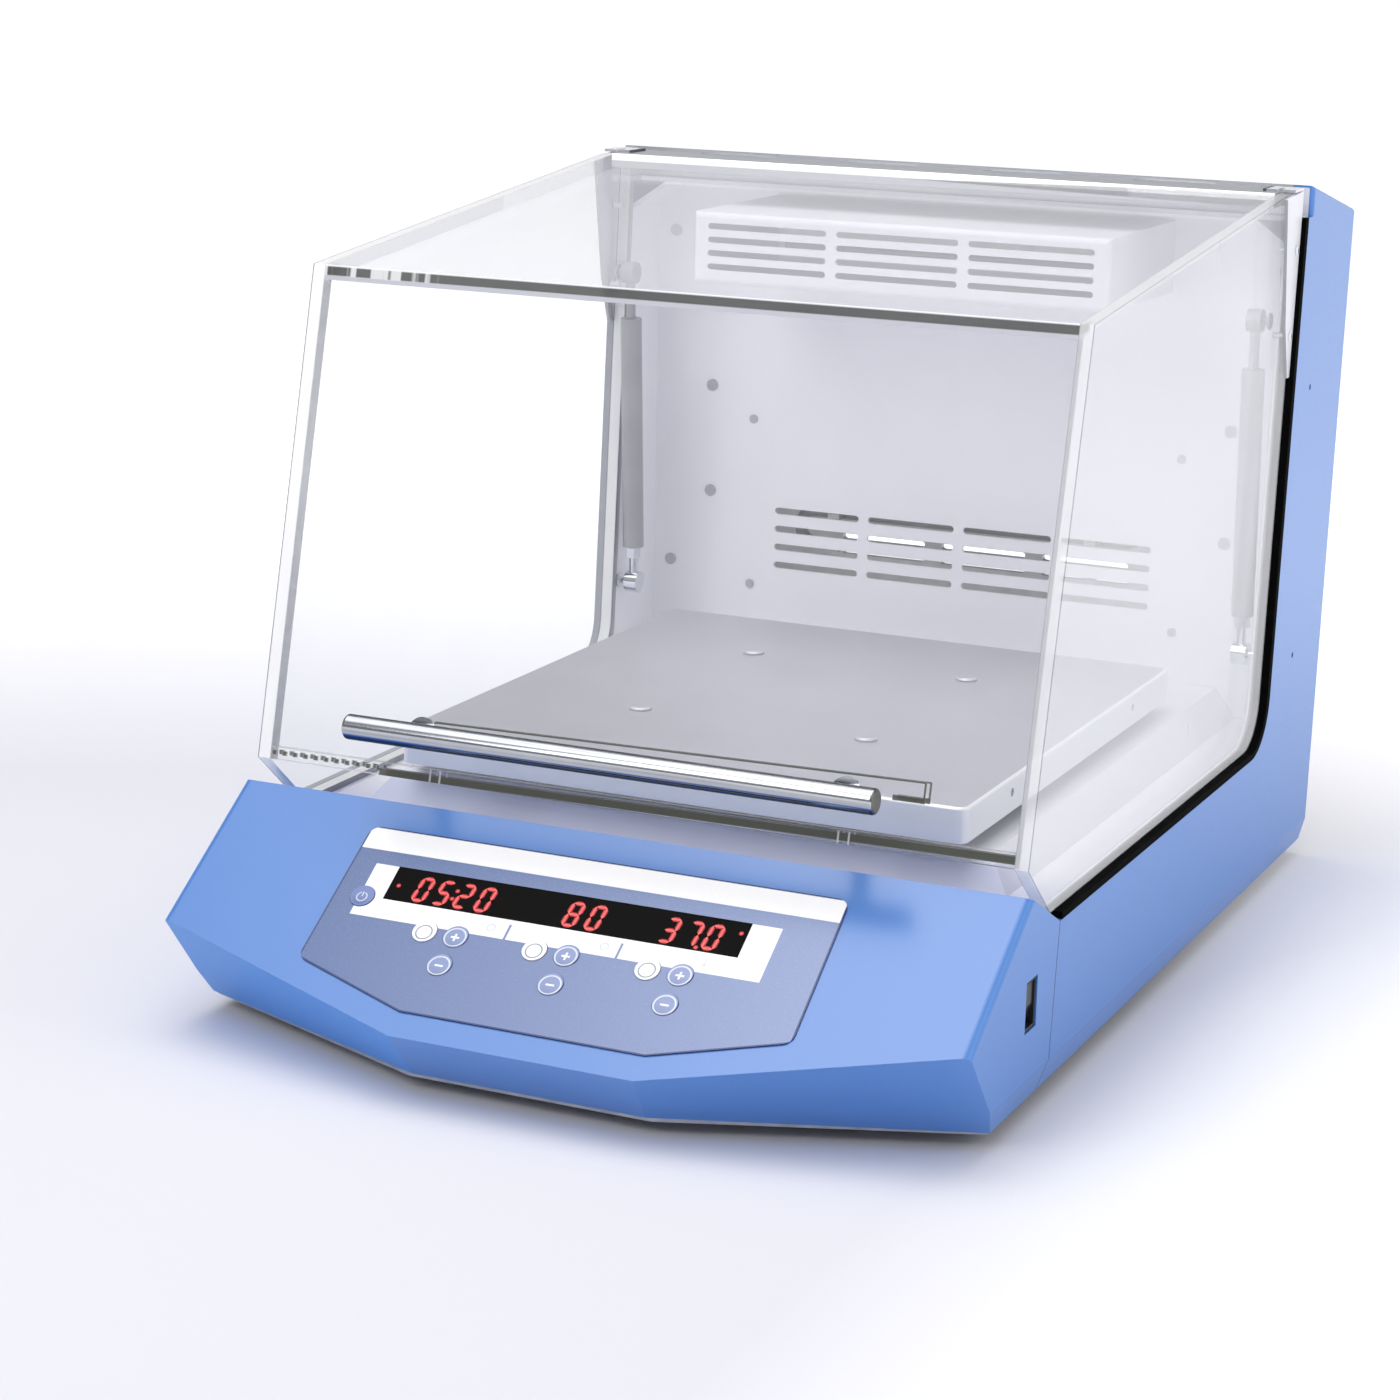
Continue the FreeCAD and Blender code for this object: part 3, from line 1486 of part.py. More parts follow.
def membrane_overlay():
    face = [
        (-overlay_half_top, overlay_top_s, overlay_corner_radius),
        (-overlay_half_low, overlay_low_s, overlay_corner_radius),
        (-overlay_tip_half, overlay_tip_s, overlay_corner_radius),
        (overlay_tip_half, overlay_tip_s, overlay_corner_radius),
        (overlay_half_low, overlay_low_s, overlay_corner_radius),
        (overlay_half_top, overlay_top_s, overlay_corner_radius),
    ]
    sheet = plan_profile(face, 0, overlay_thickness)
    holes = [display_block(panel_gap / 2, -cut_overrun, cut_overrun)]
    for x, s in key_places().values():
        holes.append(cylinder(key_radius + key_gap, 2 * cut_overrun, Vector(x, s, -cut_overrun)))
    return on_slope(sheet.cut(holes))


def display_module():
    return on_slope(display_block(0, -display_depth, overlay_thickness + display_proud))


def key(x, s):
    low = key_proud
    cap = cylinder(key_radius, key_cap, Vector(x, s, low))
    stem = cylinder(key_stem_radius, key_stem_length, Vector(x, s, low - key_stem_length))
    return on_slope(cap.fuse(stem))


def circuit_boards():
    """Key board under the slope and power board on the base pan."""
    switch_top = key_proud - key_stem_length - key_travel - running_gap
    board_top = switch_top - switch_height
    left = -overlay_half_top + board_margin
    right = overlay_half_top - board_margin
    board = box(left, right, minus_key_s - 2 * board_margin, display_high_s + board_margin,
                board_top - board_thickness, board_top)
    window = display_block(panel_gap, -space_size, space_size)
    switches = [cylinder(key_stem_radius, switch_height, Vector(x, s, board_top))
                for x, s in key_places().values()]
    post_s = minus_key_s - board_margin
    posts = [cylinder(board_post / 2, -shell_wall - board_top, Vector(x, post_s, board_top))
             for x in (left + board_margin, right - board_margin)]
    panel = on_slope(board.fuse(switches + posts).cut(window))
    x = half_width - power_board_inset - power_board_width
    y = back_wall_y - power_board_depth - board_post
    floor = foot_height + pan_thickness
    top = floor + board_post + board_thickness
    power = box(x, x + power_board_width, y, y + power_board_depth, floor + board_post, top)
    corners = [(x + board_post + shift_x, y + board_post + shift_y)
               for shift_x in (0, power_board_width - 2 * board_post)
               for shift_y in (0, power_board_depth - 2 * board_post)]
    legs = [cylinder(board_post / 2, board_post, Vector(px, py, floor)) for px, py in corners]
    tall = cylinder(capacitor_radius, capacitor_height,
                    Vector(x + power_board_width / 2, y + power_board_depth / 2, top))
    return Part.makeCompound([panel, power.fuse(legs + [tall])])


# Mains switch

rocker_mid_y = front_y + rocker_front_y + rocker_width / 2
rocker_mid_z = rocker_low_z + rocker_height / 2


def rocker_block(gap, x_low, x_high):
    """Block with the switch's front view, larger by a gap."""
    half_y = rocker_width / 2 + gap
    half_z = rocker_height / 2 + gap
    return box(x_low, x_high, rocker_mid_y - half_y, rocker_mid_y + half_y, rocker_mid_z - half_z,
               rocker_mid_z + half_z)


def rocker_opening():
    inside = half_width - shell_wall - cut_overrun
    return rocker_block(rocker_frame + panel_gap, inside, half_width + cut_overrun)


def switch_housing():
    face = half_width - rocker_recess
    body = rocker_block(rocker_frame, face - rocker_depth, face)
    well = rocker_block(panel_gap, face - rocker_depth + rocker_frame, half_width + cut_overrun)
    return body.cut(well)


def rocker_switch():
    """Rocker with a shallow V face, lying on its upper half at rest."""
    pivot_x = half_width - rocker_recess - rocker_thickness
    crown = rocker_thickness - rocker_recess
    half_z = rocker_height / 2
    rise = half_z * math.tan(math.radians(rocker_tilt))
    half_y = rocker_width / 2
    face = [
        (pivot_x + crown - rise, rocker_mid_z - half_z),
        (pivot_x + crown, rocker_mid_z),
        (pivot_x + crown - rise, rocker_mid_z + half_z),
        (pivot_x - rocker_thickness, rocker_mid_z + half_z * rocker_back_share),
        (pivot_x - rocker_thickness, rocker_mid_z - half_z * rocker_back_share),
    ]
    corners = [(Vector(x, rocker_mid_y - half_y, z), 0) for x, z in face]
    rocker = rounded_outline(corners).extrude(Vector(0, rocker_width, 0))
    turn = Rotation(Vector(0, 1, 0), rocker_tilt)
    pivot = Vector(pivot_x, rocker_mid_y, rocker_mid_z)
    rocker.Placement = Placement(pivot - turn.multVec(pivot), turn)
    return rocker


# Mains inlet

def inlet_block(width, height, low, high):
    """Block standing on the rear cover, low and high counted inward."""
    rise = inlet_rise
    flat = box(inlet_x - width / 2, inlet_x + width / 2, rise - height / 2, rise + height / 2, low, high)
    return on_rear_face(flat)


def inlet_opening():
    width = inlet_width + 2 * panel_gap
    height = inlet_height + 2 * panel_gap
    return inlet_block(width, height, -cut_overrun, 2 * cut_overrun)


def power_inlet():
    flange = inlet_block(inlet_width + 2 * inlet_flange, inlet_height + 2 * inlet_flange, -inlet_proud, 0)
    body = inlet_block(inlet_width, inlet_height, 0, inlet_depth)
    wall = inlet_cavity_wall
    cavity = inlet_block(inlet_width - 2 * wall, inlet_height - 2 * wall, -inlet_proud - cut_overrun,
                         inlet_depth - wall)
    socket = flange.fuse(body).cut(cavity)
    pins = []
    for place in (-1, 0, 1):
        x = inlet_x + place * inlet_pin_pitch
        base = inlet_depth - wall
        z = inlet_rise + abs(place) * inlet_pin_height / 2 - inlet_pin_height / 2
        flat = box(x - inlet_pin_width / 2, x + inlet_pin_width / 2, z, z + inlet_pin_height,
                   base - inlet_pin_length, base)
        pins.append(on_rear_face(flat))
    return socket.fuse(pins)


# Fan, heater, cooling coil and sensor

heater_top_z = overall_height - heater_drop
fan_z = heater_top_z - heater_pitch * (heater_passes - 1) - fan_heater_space
machine_y = back_wall_y + liner_wall
fan_back_y = machine_y + fan_front_gap + fan_width


def fan_rotor():
    """Radial wheel with leaning blades between a back plate and a front ring."""
    front = machine_y + fan_front_gap
    axis = Vector(0, 1, 0)
    back_plate = cylinder(fan_radius, fan_plate, Vector(0, fan_back_y - fan_plate, fan_z), axis)
    ring = cylinder(fan_radius, fan_plate, Vector(0, front, fan_z), axis)
    eye = cylinder(fan_radius * fan_eye_share, 2 * fan_width, Vector(0, front - fan_width / 2, fan_z), axis)
    hub = cylinder(fan_hub_radius, fan_width, Vector(0, front, fan_z), axis)
    reach = fan_back_y + fan_frame_thickness + fan_motor_height / 2
    shaft = cylinder(fan_shaft_radius, reach - front, Vector(0, front, fan_z), axis)
    blades = [fan_blade_at(math.tau * index / fan_blade_count, front) for index in range(fan_blade_count)]
    return back_plate.fuse([ring.cut(eye), hub, shaft] + blades).removeSplitter()


def fan_blade_at(turn, front):
    """Backward-curved blade between two equal arcs, one a blade's thickness round from the other."""
    inner = fan_radius * fan_blade_start_share
    outer = fan_radius * fan_blade_end_share
    sweep = math.radians(fan_blade_sweep)

    def at(radius, angle):
        return Vector(radius * math.sin(angle), front, fan_z + radius * math.cos(angle))

    sides = []
    for start in (turn, turn + fan_blade / outer):
        middle = at((inner + outer) / 2, start + sweep * fan_blade_bow_share)
        sides.append(Part.Arc(at(inner, start), middle, at(outer, start + sweep)))
    first, second = sides
    edges = [
        first.toShape(), Part.LineSegment(first.EndPoint, second.EndPoint).toShape(),
        second.toShape(), Part.LineSegment(second.StartPoint, first.StartPoint).toShape(),
    ]
    return Part.Face(Part.Wire(edges)).extrude(Vector(0, fan_back_y - fan_plate / 2 - front, 0))


def fan_motor():
    """Motor on a frame plate that stands on posts from the liner."""
    axis = Vector(0, 1, 0)
    half = fan_frame_half
    plate_y = fan_back_y + seat_gap * 2
    plate = box(-half, half, plate_y, plate_y + fan_frame_thickness, fan_z - half, fan_z + half)
    spread = half - fan_post_inset
    posts = [cylinder(fan_post_radius, plate_y - machine_y, Vector(x, machine_y, z), axis)
             for x in (-spread, spread) for z in (fan_z - spread, fan_z + spread)]
    can = cylinder(fan_motor_radius, fan_motor_height, Vector(0, plate_y, fan_z), axis)
    start = Vector(0, plate_y - seat_gap, fan_z)
    bore = cylinder(fan_shaft_radius + running_gap, fan_motor_height, start, axis)
    return plate.fuse(posts + [can]).cut(bore).removeSplitter()


def serpentine(half, pitch, passes, top_z):
    """Centre line of a tube bent back and forth in the XZ plane."""
    y = machine_y + tube_offset
    radius = pitch / 2
    edges = []
    side = -1
    z = top_z
    start = Vector(side * (half - radius), y, z)
    for index in range(passes):
        end = Vector(-start.x, y, z)
        edges.append(Part.LineSegment(start, end).toShape())
        if index < passes - 1:
            bulge = Vector(end.x - side * radius, y, z - radius)
            following = Vector(end.x, y, z - pitch)
            edges.append(Part.Arc(end, bulge, following).toShape())
            z = z - pitch
            start = following
            side = -side
    return edges


def tube_along(edges):
    """Solid round tube along joined edges."""
    wire = Part.Wire(edges)
    first = edges[0]
    start = first.Vertexes[0].Point
    heading = (first.Vertexes[-1].Point - start).normalize()
    circle = Part.Wire([Part.Circle(start, heading, tube_radius).toShape()])
    return wire.makePipeShell([circle], True, False)


def tube_clips(half, place_share, z_values):
    """Clips that hold tubes off the liner's back."""
    low = machine_y
    high = machine_y + tube_offset
    clips = []
    for z in z_values:
        for side in (-1, 1):
            x = side * half * place_share
            clips.append(box(x - clip_width / 2, x + clip_width / 2, low, high, z - tube_radius / 2,
                             z + tube_radius / 2))
    return clips


def heater():
    half = chamber_half - heater_side_space
    tube = tube_along(serpentine(half, heater_pitch, heater_passes, heater_top_z))
    rows = [heater_top_z - index * heater_pitch for index in range(heater_passes)]
    return tube.fuse(tube_clips(half, heater_clip_share, rows))


def coil_port(side, radius, overrun):
    """Straight water connection through the rear cover."""
    y = machine_y + tube_offset
    z = foot_height + coil_port_rise
    start = Vector(-inlet_x + side * coil_port_x / 2, y, z)
    outside = rear_y - rear_lean * coil_port_share + overrun
    return cylinder(radius, outside - y, start, Vector(0, 1, 0))


def cooling_coil():
    """Serpentine behind the slots, with its two water connections."""
    half = chamber_half - coil_side_space
    top_z = fan_z - fan_frame_half - coil_fan_space
    tube = tube_along(serpentine(half, coil_pitch, coil_passes, top_z))
    rows = [top_z - index * coil_pitch for index in range(coil_passes)]
    coil = tube.fuse(tube_clips(half, coil_clip_share, rows))
    return Part.makeCompound([coil] + [coil_port(side, tube_radius, 0) for side in (-1, 1)])


def temperature_sensor():
    z = fan_z - sensor_fan_drop
    x = sensor_side_space - chamber_half
    out = machine_y + clip_width
    block = box(x - clip_width, x + clip_width, machine_y, out, z - clip_width, z + clip_width)
    middle = Vector(x - sensor_length / 2, machine_y + clip_width / 2, z)
    probe = cylinder(sensor_radius, sensor_length, middle, Vector(1, 0, 0))
    return block.fuse(probe).removeSplitter()


def nodes():
    """Every piece of the instrument by its node name."""
    pieces = {
        "base_pan": base_pan(),
        "feet": feet(),
        "rear_body_shell": rear_body_shell(),
        "rear_cover": rear_cover(),
        "front_console_shell": front_console_shell(),
        "chamber_floor": chamber_floor(),
        "rear_liner": rear_liner(),
        "air_duct_cover": air_duct_cover(),
        "lid_seals": lid_seals(),
        "hinge_housing_leaf": hinge_housing_leaf(),
        "hinge_pin": hinge_pin(),
        "strut_lower_studs": strut_lower_studs(),
        "drive_plate": drive_plate(),
        "bearings": bearings(),
        "motor": motor(),
        "drive_belt": drive_belt(),
        "circuit_boards": circuit_boards(),
        "membrane_overlay": membrane_overlay(),
        "display_module": display_module(),
        "switch_housing": switch_housing(),
        "power_inlet": power_inlet(),
        "fan_motor": fan_motor(),
        "heater": heater(),
        "temperature_sensor": temperature_sensor(),
        "cooling_coil": cooling_coil(),
        "cover_screws": cover_screws(),
        "hood_top": hood_top(),
        "hood_front": hood_front(),
        "hood_side_left": hood_side(-1),
        "hood_side_right": hood_side(1),
        "hinge_strip": hinge_strip(),
        "hinge_arms": hinge_arms(),
        "hood_screws": hood_screws(),
        "handle_bar": handle_bar(),
        "handle_standoffs": handle_standoffs(),
        "strut_rod_left": strut_rod(-1),
        "strut_rod_right": strut_rod(1),
        "strut_cylinder_left": strut_cylinder(-1),
        "strut_cylinder_right": strut_cylinder(1),
        "drive_crank": drive_crank(),
        "drive_pulley": drive_pulley(),
        "counterweight": counterweight(),
        "idler_crank_left": idler_crank(-1),
        "idler_crank_right": idler_crank(1),
        "motor_pulley": motor_pulley(),
        "tray": tray(),
        "tray_carrier": tray_carrier(),
        "tray_bolts": tray_bolts(),
        "fan_rotor": fan_rotor(),
        "rocker_switch": rocker_switch(),
    }
    for name, (x, s) in key_places().items():
        pieces[name] = key(x, s)
    return pieces


os.makedirs("parts", exist_ok=True)
for name, shape in nodes().items():
    shape.exportStep("parts/" + name + ".step")
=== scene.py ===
import math

import bmesh
import bpy
from mathutils import Matrix, Vector


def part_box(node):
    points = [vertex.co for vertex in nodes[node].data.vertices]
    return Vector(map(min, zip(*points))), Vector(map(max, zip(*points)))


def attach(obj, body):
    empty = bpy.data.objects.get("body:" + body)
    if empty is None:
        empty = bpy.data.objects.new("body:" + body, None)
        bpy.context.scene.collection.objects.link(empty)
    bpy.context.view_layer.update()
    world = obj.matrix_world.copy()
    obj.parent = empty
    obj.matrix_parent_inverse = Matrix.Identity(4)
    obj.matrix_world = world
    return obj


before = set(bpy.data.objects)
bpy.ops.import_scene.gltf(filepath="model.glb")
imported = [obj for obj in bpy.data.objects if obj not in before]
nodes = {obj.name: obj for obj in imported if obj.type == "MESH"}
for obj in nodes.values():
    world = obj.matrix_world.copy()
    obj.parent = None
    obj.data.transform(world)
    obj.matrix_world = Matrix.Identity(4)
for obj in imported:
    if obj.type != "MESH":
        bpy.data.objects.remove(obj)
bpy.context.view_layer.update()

MM = 0.001


# Camera at the photograph's place

camera_place = Vector((0.7410, -1.7471, 0.6230))
yaw, dip, roll = (math.radians(angle) for angle in (24.54, 14.12, 1.23))
focal_length = 3321
picture_width = 1400
ahead = Vector((-math.sin(yaw) * math.cos(dip), math.cos(yaw) * math.cos(dip), -math.sin(dip)))
level = Vector((math.cos(yaw), math.sin(yaw), 0))
upright = level.cross(ahead)
right = level * math.cos(roll) + upright * math.sin(roll)
up = upright * math.cos(roll) - level * math.sin(roll)
lens = bpy.data.cameras.new("camera")
lens.sensor_width = 36
lens.lens = focal_length / picture_width * lens.sensor_width
lens.clip_start = 0.05
lens.clip_end = 200
camera = bpy.data.objects.new("camera", lens)
turn = Matrix((right, up, -ahead)).transposed().to_4x4()
camera.matrix_world = Matrix.Translation(camera_place) @ turn
bpy.context.scene.collection.objects.link(camera)
bpy.context.scene.camera = camera


# Shader kit

def ink(red, green, blue):
    """Linear colour from the 0 to 255 values of a screen."""
    def linear(level):
        share = level / 255
        return share / 12.92 if share <= 0.04045 else ((share + 0.055) / 1.055) ** 2.4
    return (linear(red), linear(green), linear(blue), 1.0)


class Value:
    """A number that changes over a surface. Expressions on it add their Math nodes."""

    def __init__(self, finish, socket):
        self.finish = finish
        self.socket = socket

    def joined(self, operation, *inputs):
        node = self.finish.node("ShaderNodeMath", {"operation": operation}, inputs)
        return Value(self.finish, node.outputs[0])

    def __add__(self, other):
        return self.joined("ADD", self, other)

    def __radd__(self, other):
        return self.joined("ADD", other, self)

    def __sub__(self, other):
        return self.joined("SUBTRACT", self, other)

    def __rsub__(self, other):
        return self.joined("SUBTRACT", other, self)

    def __mul__(self, other):
        return self.joined("MULTIPLY", self, other)

    def __rmul__(self, other):
        return self.joined("MULTIPLY", other, self)

    def __truediv__(self, other):
        return self.joined("DIVIDE", self, other)

    def __pow__(self, other):
        return self.joined("POWER", self, other)

    def __abs__(self):
        return self.joined("ABSOLUTE", self)

    def lesser(self, other):
        return self.joined("MINIMUM", self, other)

    def greater(self, other):
        return self.joined("MAXIMUM", self, other)

    def held(self, low=0.0, high=1.0):
        """The value kept between two limits."""
        return self.greater(low).lesser(high)

    def fraction(self):
        """What is over a whole number, for marks that repeat."""
        return self.joined("FRACT", self)

    def above(self, limit, soft):
        """1 where the value is over a limit and 0 below it, with a soft step."""
        return ((self - limit) / soft + 0.5).held()

    def below(self, limit, soft):
        """1 where the value is under a limit and 0 over it, with a soft step."""
        return ((limit - self) / soft + 0.5).held()

    def between(self, low, high, soft):
        """1 between two limits and 0 outside them, with soft steps."""
        return self.above(low, soft) * self.below(high, soft)


class Finish:
    """A surface's material, built on one Principled shader."""

    def __init__(self, name, colour, roughness, **fixed):
        """Starts from a plain colour and roughness; fixed sockets are named in small letters."""
        self.material = bpy.data.materials.new(name)
        self.material.use_nodes = True
        self.tree = self.material.node_tree
        self.tree.nodes.clear()
        sockets = {"Base Color": colour, "Roughness": roughness}
        for key, value in fixed.items():
            sockets[key.replace("_", " ").title().replace("Ior", "IOR")] = value
        self.shader = self.node("ShaderNodeBsdfPrincipled", None, sockets)
        self.output = self.node("ShaderNodeOutputMaterial", None, {"Surface": self.shader.outputs[0]})

    def node(self, kind, settings=None, sockets=None):
        """Adds a node: its settings first, then the values or links of its sockets."""
        made = self.tree.nodes.new(kind)
        for name, value in (settings or {}).items():
            setattr(made, name, value)
        pairs = sockets.items() if isinstance(sockets, dict) else enumerate(sockets or ())
        for key, value in pairs:
            self.feed(made.inputs[key], value)
        return made

    def feed(self, socket, value):
        source = getattr(value, "socket", value)
        if isinstance(source, bpy.types.NodeSocket):
            self.tree.links.new(source, socket)
        else:
            socket.default_value = source

    def set(self, name, value):
        self.feed(self.shader.inputs[name], value)

    def coordinates(self):
        return self.node("ShaderNodeTexCoord")

    def place(self):
        """x, y and z on the object in millimetres, which ride with its body."""
        parts = self.node("ShaderNodeSeparateXYZ", None, [self.coordinates().outputs["Object"]])
        return [Value(self, parts.outputs[axis]) * 1000 for axis in range(3)]

    def facing(self, direction):
        """How far a face looks along a direction of the object, from -1 to 1."""
        normal = self.coordinates().outputs["Normal"]
        node = self.node("ShaderNodeVectorMath", {"operation": "DOT_PRODUCT"}, [normal, direction])
        return Value(self, node.outputs["Value"])

    def noise(self, size, detail=2.0, stretch=(1, 1, 1)):
        """Cloudy pattern with features of about a size in millimetres, longer where stretched."""
        scale = tuple(1000 / size / part for part in stretch)
        scaled = self.node("ShaderNodeVectorMath", {"operation": "MULTIPLY"},
                           [self.coordinates().outputs["Object"], scale])
        node = self.node("ShaderNodeTexNoise", None,
                         {"Vector": scaled.outputs[0], "Scale": 1.0, "Detail": detail})
        return Value(self, node.outputs[0])

    def blend(self, share, first, second):
        """Colour between two colours."""
        node = self.node("ShaderNodeMix", {"data_type": "RGBA"})
        for index, value in ((0, share), (6, first), (7, second)):
            self.feed(node.inputs[index], value)
        return node.outputs[2]

    def bump(self, height, depth, strength=1.0):
        """Relief from a value, with a depth in millimetres."""
        sockets = {"Height": height, "Distance": depth * MM, "Strength": strength}
        self.set("Normal", self.node("ShaderNodeBump", None, sockets).outputs[0])

    def thin(self, share, tint):
        """Lets light straight through, except for a share of the surface."""
        clear = self.node("ShaderNodeBsdfTransparent", None, {"Color": tint})
        mixed = self.node("ShaderNodeMixShader", None, [share, clear.outputs[0], self.shader.outputs[0]])
        self.feed(self.output.inputs["Surface"], mixed.outputs[0])


# Finishes of the covers and the chamber

# All places on the part are in millimetres.

joint_y = -179.5
joint_top, joint_knee, joint_foot = 97.5, 24.6, 10.0
joint_lean, knee_lean = 0.1097, 0.582
housing_inside_x = 229.4
housing_front_y = 188
console_slope = (0, -0.57, 0.82)


def joint_line(y, z):
    """1 along the leaning joint between the console and the rear body."""
    leaned = (joint_top - z).held(0, joint_top - joint_knee) * joint_lean
    leaned += (joint_knee - z).held(0, joint_knee - joint_foot) * knee_lean
    return abs(y - joint_y + leaned).below(0.55, 0.4)


def housing_rim(x, y, z):
    """1 on the inner faces of the rear housing's sides and in its upper left corner."""
    sides = abs(x).below(housing_inside_x, 0.3) * y.between(housing_front_y, 246, 1)
    corner = x.below(-205, 1) * y.between(housing_front_y, 252, 1) * z.above(430, 1)
    return (sides * z.between(98, 441, 0.5)).greater(corner)


def powder_coat(name, colour, shade):
    """Satin powder coat with its orange peel, dark at the joint and pale on the housing's rim, with painted
    shade on the slope and on the rim's left, and painted light on the lower left front.
    """
    finish = Finish(name, colour, 0.3, coat_weight=0.8, coat_roughness=0.22)
    cloud = finish.noise(160)
    peel = finish.noise(1.6, 3.0)
    speck = finish.noise(0.5)
    x, y, z = finish.place()
    low_dust = z.below(16, 14) * 0.25
    # Faces along the console's slope are darkened: painted shade.
    slope_painted_shade = finish.facing(console_slope).above(0.9, 0.1) * 0.75
    tone = (cloud * 0.35 + low_dust + slope_painted_shade + speck.above(0.66, 0.08) * 0.12).held()
    # The rim is pale like the liner; on the left it is grey, which is painted shade.
    rim = finish.blend(x.below(-215, 2), ink(226, 227, 235), ink(172, 173, 180))
    # The lower left front is painted paler, which is painted light, and like the sides it is less shiny than
    # the rest.
    under = finish.facing((-1, 0, 0)).above(0.12, 0.1) * finish.facing((0, 0, -1)).above(0.1, 0.1)
    lighter = (0.086, 0.29, 0.76, 1.0)
    painted = finish.blend(under, finish.blend(tone, colour, shade), lighter)
    coated = finish.blend(housing_rim(x, y, z), painted, rim)
    finish.set("Base Color", finish.blend(joint_line(y, z) * 0.8, coated, ink(18, 36, 88)))
    coat = 0.85 - abs(finish.facing((1, 0, 0))) * (0.66 - z * 0.0007)
    finish.set("Coat Weight", coat * (1 - under * 0.65))
    finish.set("Roughness", 0.3 + peel * 0.1 + under * 0.25)
    finish.bump(peel + speck * 0.3, 0.02, 0.5)
    return finish.material


def white_enamel(name, colour, shade, glow=0.0):
    """Smooth white coat on folded sheet, a little greyer in places that are wiped less; glow gives it a
    painted glow in its own colour.
    """
    finish = Finish(name, colour, 0.38, coat_weight=0.2, coat_roughness=0.3, emission_strength=glow)
    cloud = finish.noise(110)
    wipe = finish.noise(9, 2.0, (6, 1, 1))
    grain = finish.noise(1.1)
    coat = finish.blend((cloud * 0.7 + wipe * 0.2).held(), colour, shade)
    finish.set("Base Color", coat)
    finish.set("Emission Color", coat)
    finish.set("Roughness", 0.34 + wipe * 0.12)
    finish.bump(grain, 0.012, 0.4)
    return finish.material


def floor_enamel(name):
    """White coat of the chamber's floor, bluer towards the front rim as a painted reflection of the blue
    covers.
    """
    finish = Finish(name, ink(244, 244, 249), 0.38, coat_weight=0.2, coat_roughness=0.3)
    y, z = finish.place()[1:]
    cloud = finish.noise(90)
    wipe = finish.noise(9, 2.0, (6, 1, 1))
    # Painted reflection of the blue covers on the front of the floor.
    front = y.below(-122, 50) * z.below(112, 6)
    coat = finish.blend((cloud * 0.7 + wipe * 0.2).held(), ink(246, 246, 250), ink(236, 236, 243))
    finish.set("Base Color", finish.blend(front, coat, ink(206, 209, 230)))
    finish.set("Roughness", 0.34 + wipe * 0.12)
    finish.bump(wipe, 0.01, 0.3)
    return finish.material


def satin_tray(name, edge, bend_highlight):
    """Satin grey coat of the tray with faint straight brushing, with painted light on its turned-down edges
    and a painted highlight on their bends.
    """
    finish = Finish(name, ink(202, 202, 209), 0.34, metallic=0.2)
    brush = finish.noise(0.9, 3.0, (60, 1, 1))
    cloud = finish.noise(70)
    level = finish.facing((0, 0, 1))
    colour = finish.blend((cloud * 0.6 + brush * 0.35).held(), ink(198, 198, 205), ink(176, 176, 184))
    # Turned-down edges get painted light, and their bends a painted highlight.
    turned = finish.blend(level.between(0.25, 0.93, 0.1), edge, bend_highlight)
    colour = finish.blend(level.above(0.95, 0.06), turned, colour)
    finish.set("Base Color", colour)
    finish.set("Roughness", 0.28 + brush * 0.16)
    finish.bump(brush, 0.01, 0.4)
    return finish.material


# Finishes of metal, plastic and rubber

strip_front_y = 206
lip_foot_z = 436.2
arm_cap_x = 211.9
cover_side_x = 228


def polished_bar(name):
    """Polished steel tube with hair-fine turning lines and a few dull spots."""
    finish = Finish(name, ink(226, 228, 233), 0.1, metallic=1.0)
    lines = finish.noise(0.7, 2.0, (1, 40, 40))
    touch = finish.noise(14, 3.0)
    finish.set("Base Color", finish.blend(touch, ink(232, 234, 238), ink(206, 209, 216)))
    finish.set("Roughness", 0.07 + lines * 0.06 + touch.above(0.62, 0.1) * 0.08)
    finish.bump(lines, 0.004, 0.3)
    return finish.material


def handle_tube(name):
    """Polished tube with a painted reflection of the blue cover below it, painted shade on its underside and
    back, and a dull cap on each end.
    """
    finish = Finish(name, ink(226, 228, 233), 0.1, metallic=1.0)
    lines = finish.noise(0.7, 2.0, (1, 40, 40))
    low = finish.facing((0, 0, -1))
    touch = finish.noise(14, 3.0)
    streak = finish.noise(1.1, 2.0, (200, 1, 1)).above(0.56, 0.2)
    steel = finish.blend((touch * 0.5 + streak * 0.5).held(), ink(192, 195, 200), ink(154, 157, 164))
    # Painted reflection of the blue cover on the lower side, painted shade at the bottom and on the back.
    steel = finish.blend(low.above(0.3, 0.14), steel, ink(116, 140, 178))
    steel = finish.blend(low.above(0.52, 0.2), steel, ink(62, 62, 66))
    steel = finish.blend(finish.facing((0, 1, 0)).above(-0.2, 0.12), steel, ink(92, 94, 98))
    cap = abs(finish.facing((1, 0, 0))).above(0.6, 0.2)
    finish.set("Base Color", finish.blend(cap, steel, ink(116, 118, 110)))
    finish.set("Roughness", 0.12 + lines * 0.06 + cap * 0.25)
    finish.bump(lines, 0.004, 0.3)
    return finish.material


def turned_steel(name, light, dark, roughness=0.3):
    """Machined steel with turning marks round its height."""
    finish = Finish(name, light, roughness, metallic=1.0)
    rings = finish.noise(0.6, 2.0, (30, 30, 1))
    stain = finish.noise(26, 3.0)
    finish.set("Base Color", finish.blend((rings * 0.4 + stain * 0.5).held(), light, dark))
    finish.set("Roughness", roughness + rings * 0.15)
    finish.bump(rings, 0.008, 0.4)
    return finish.material


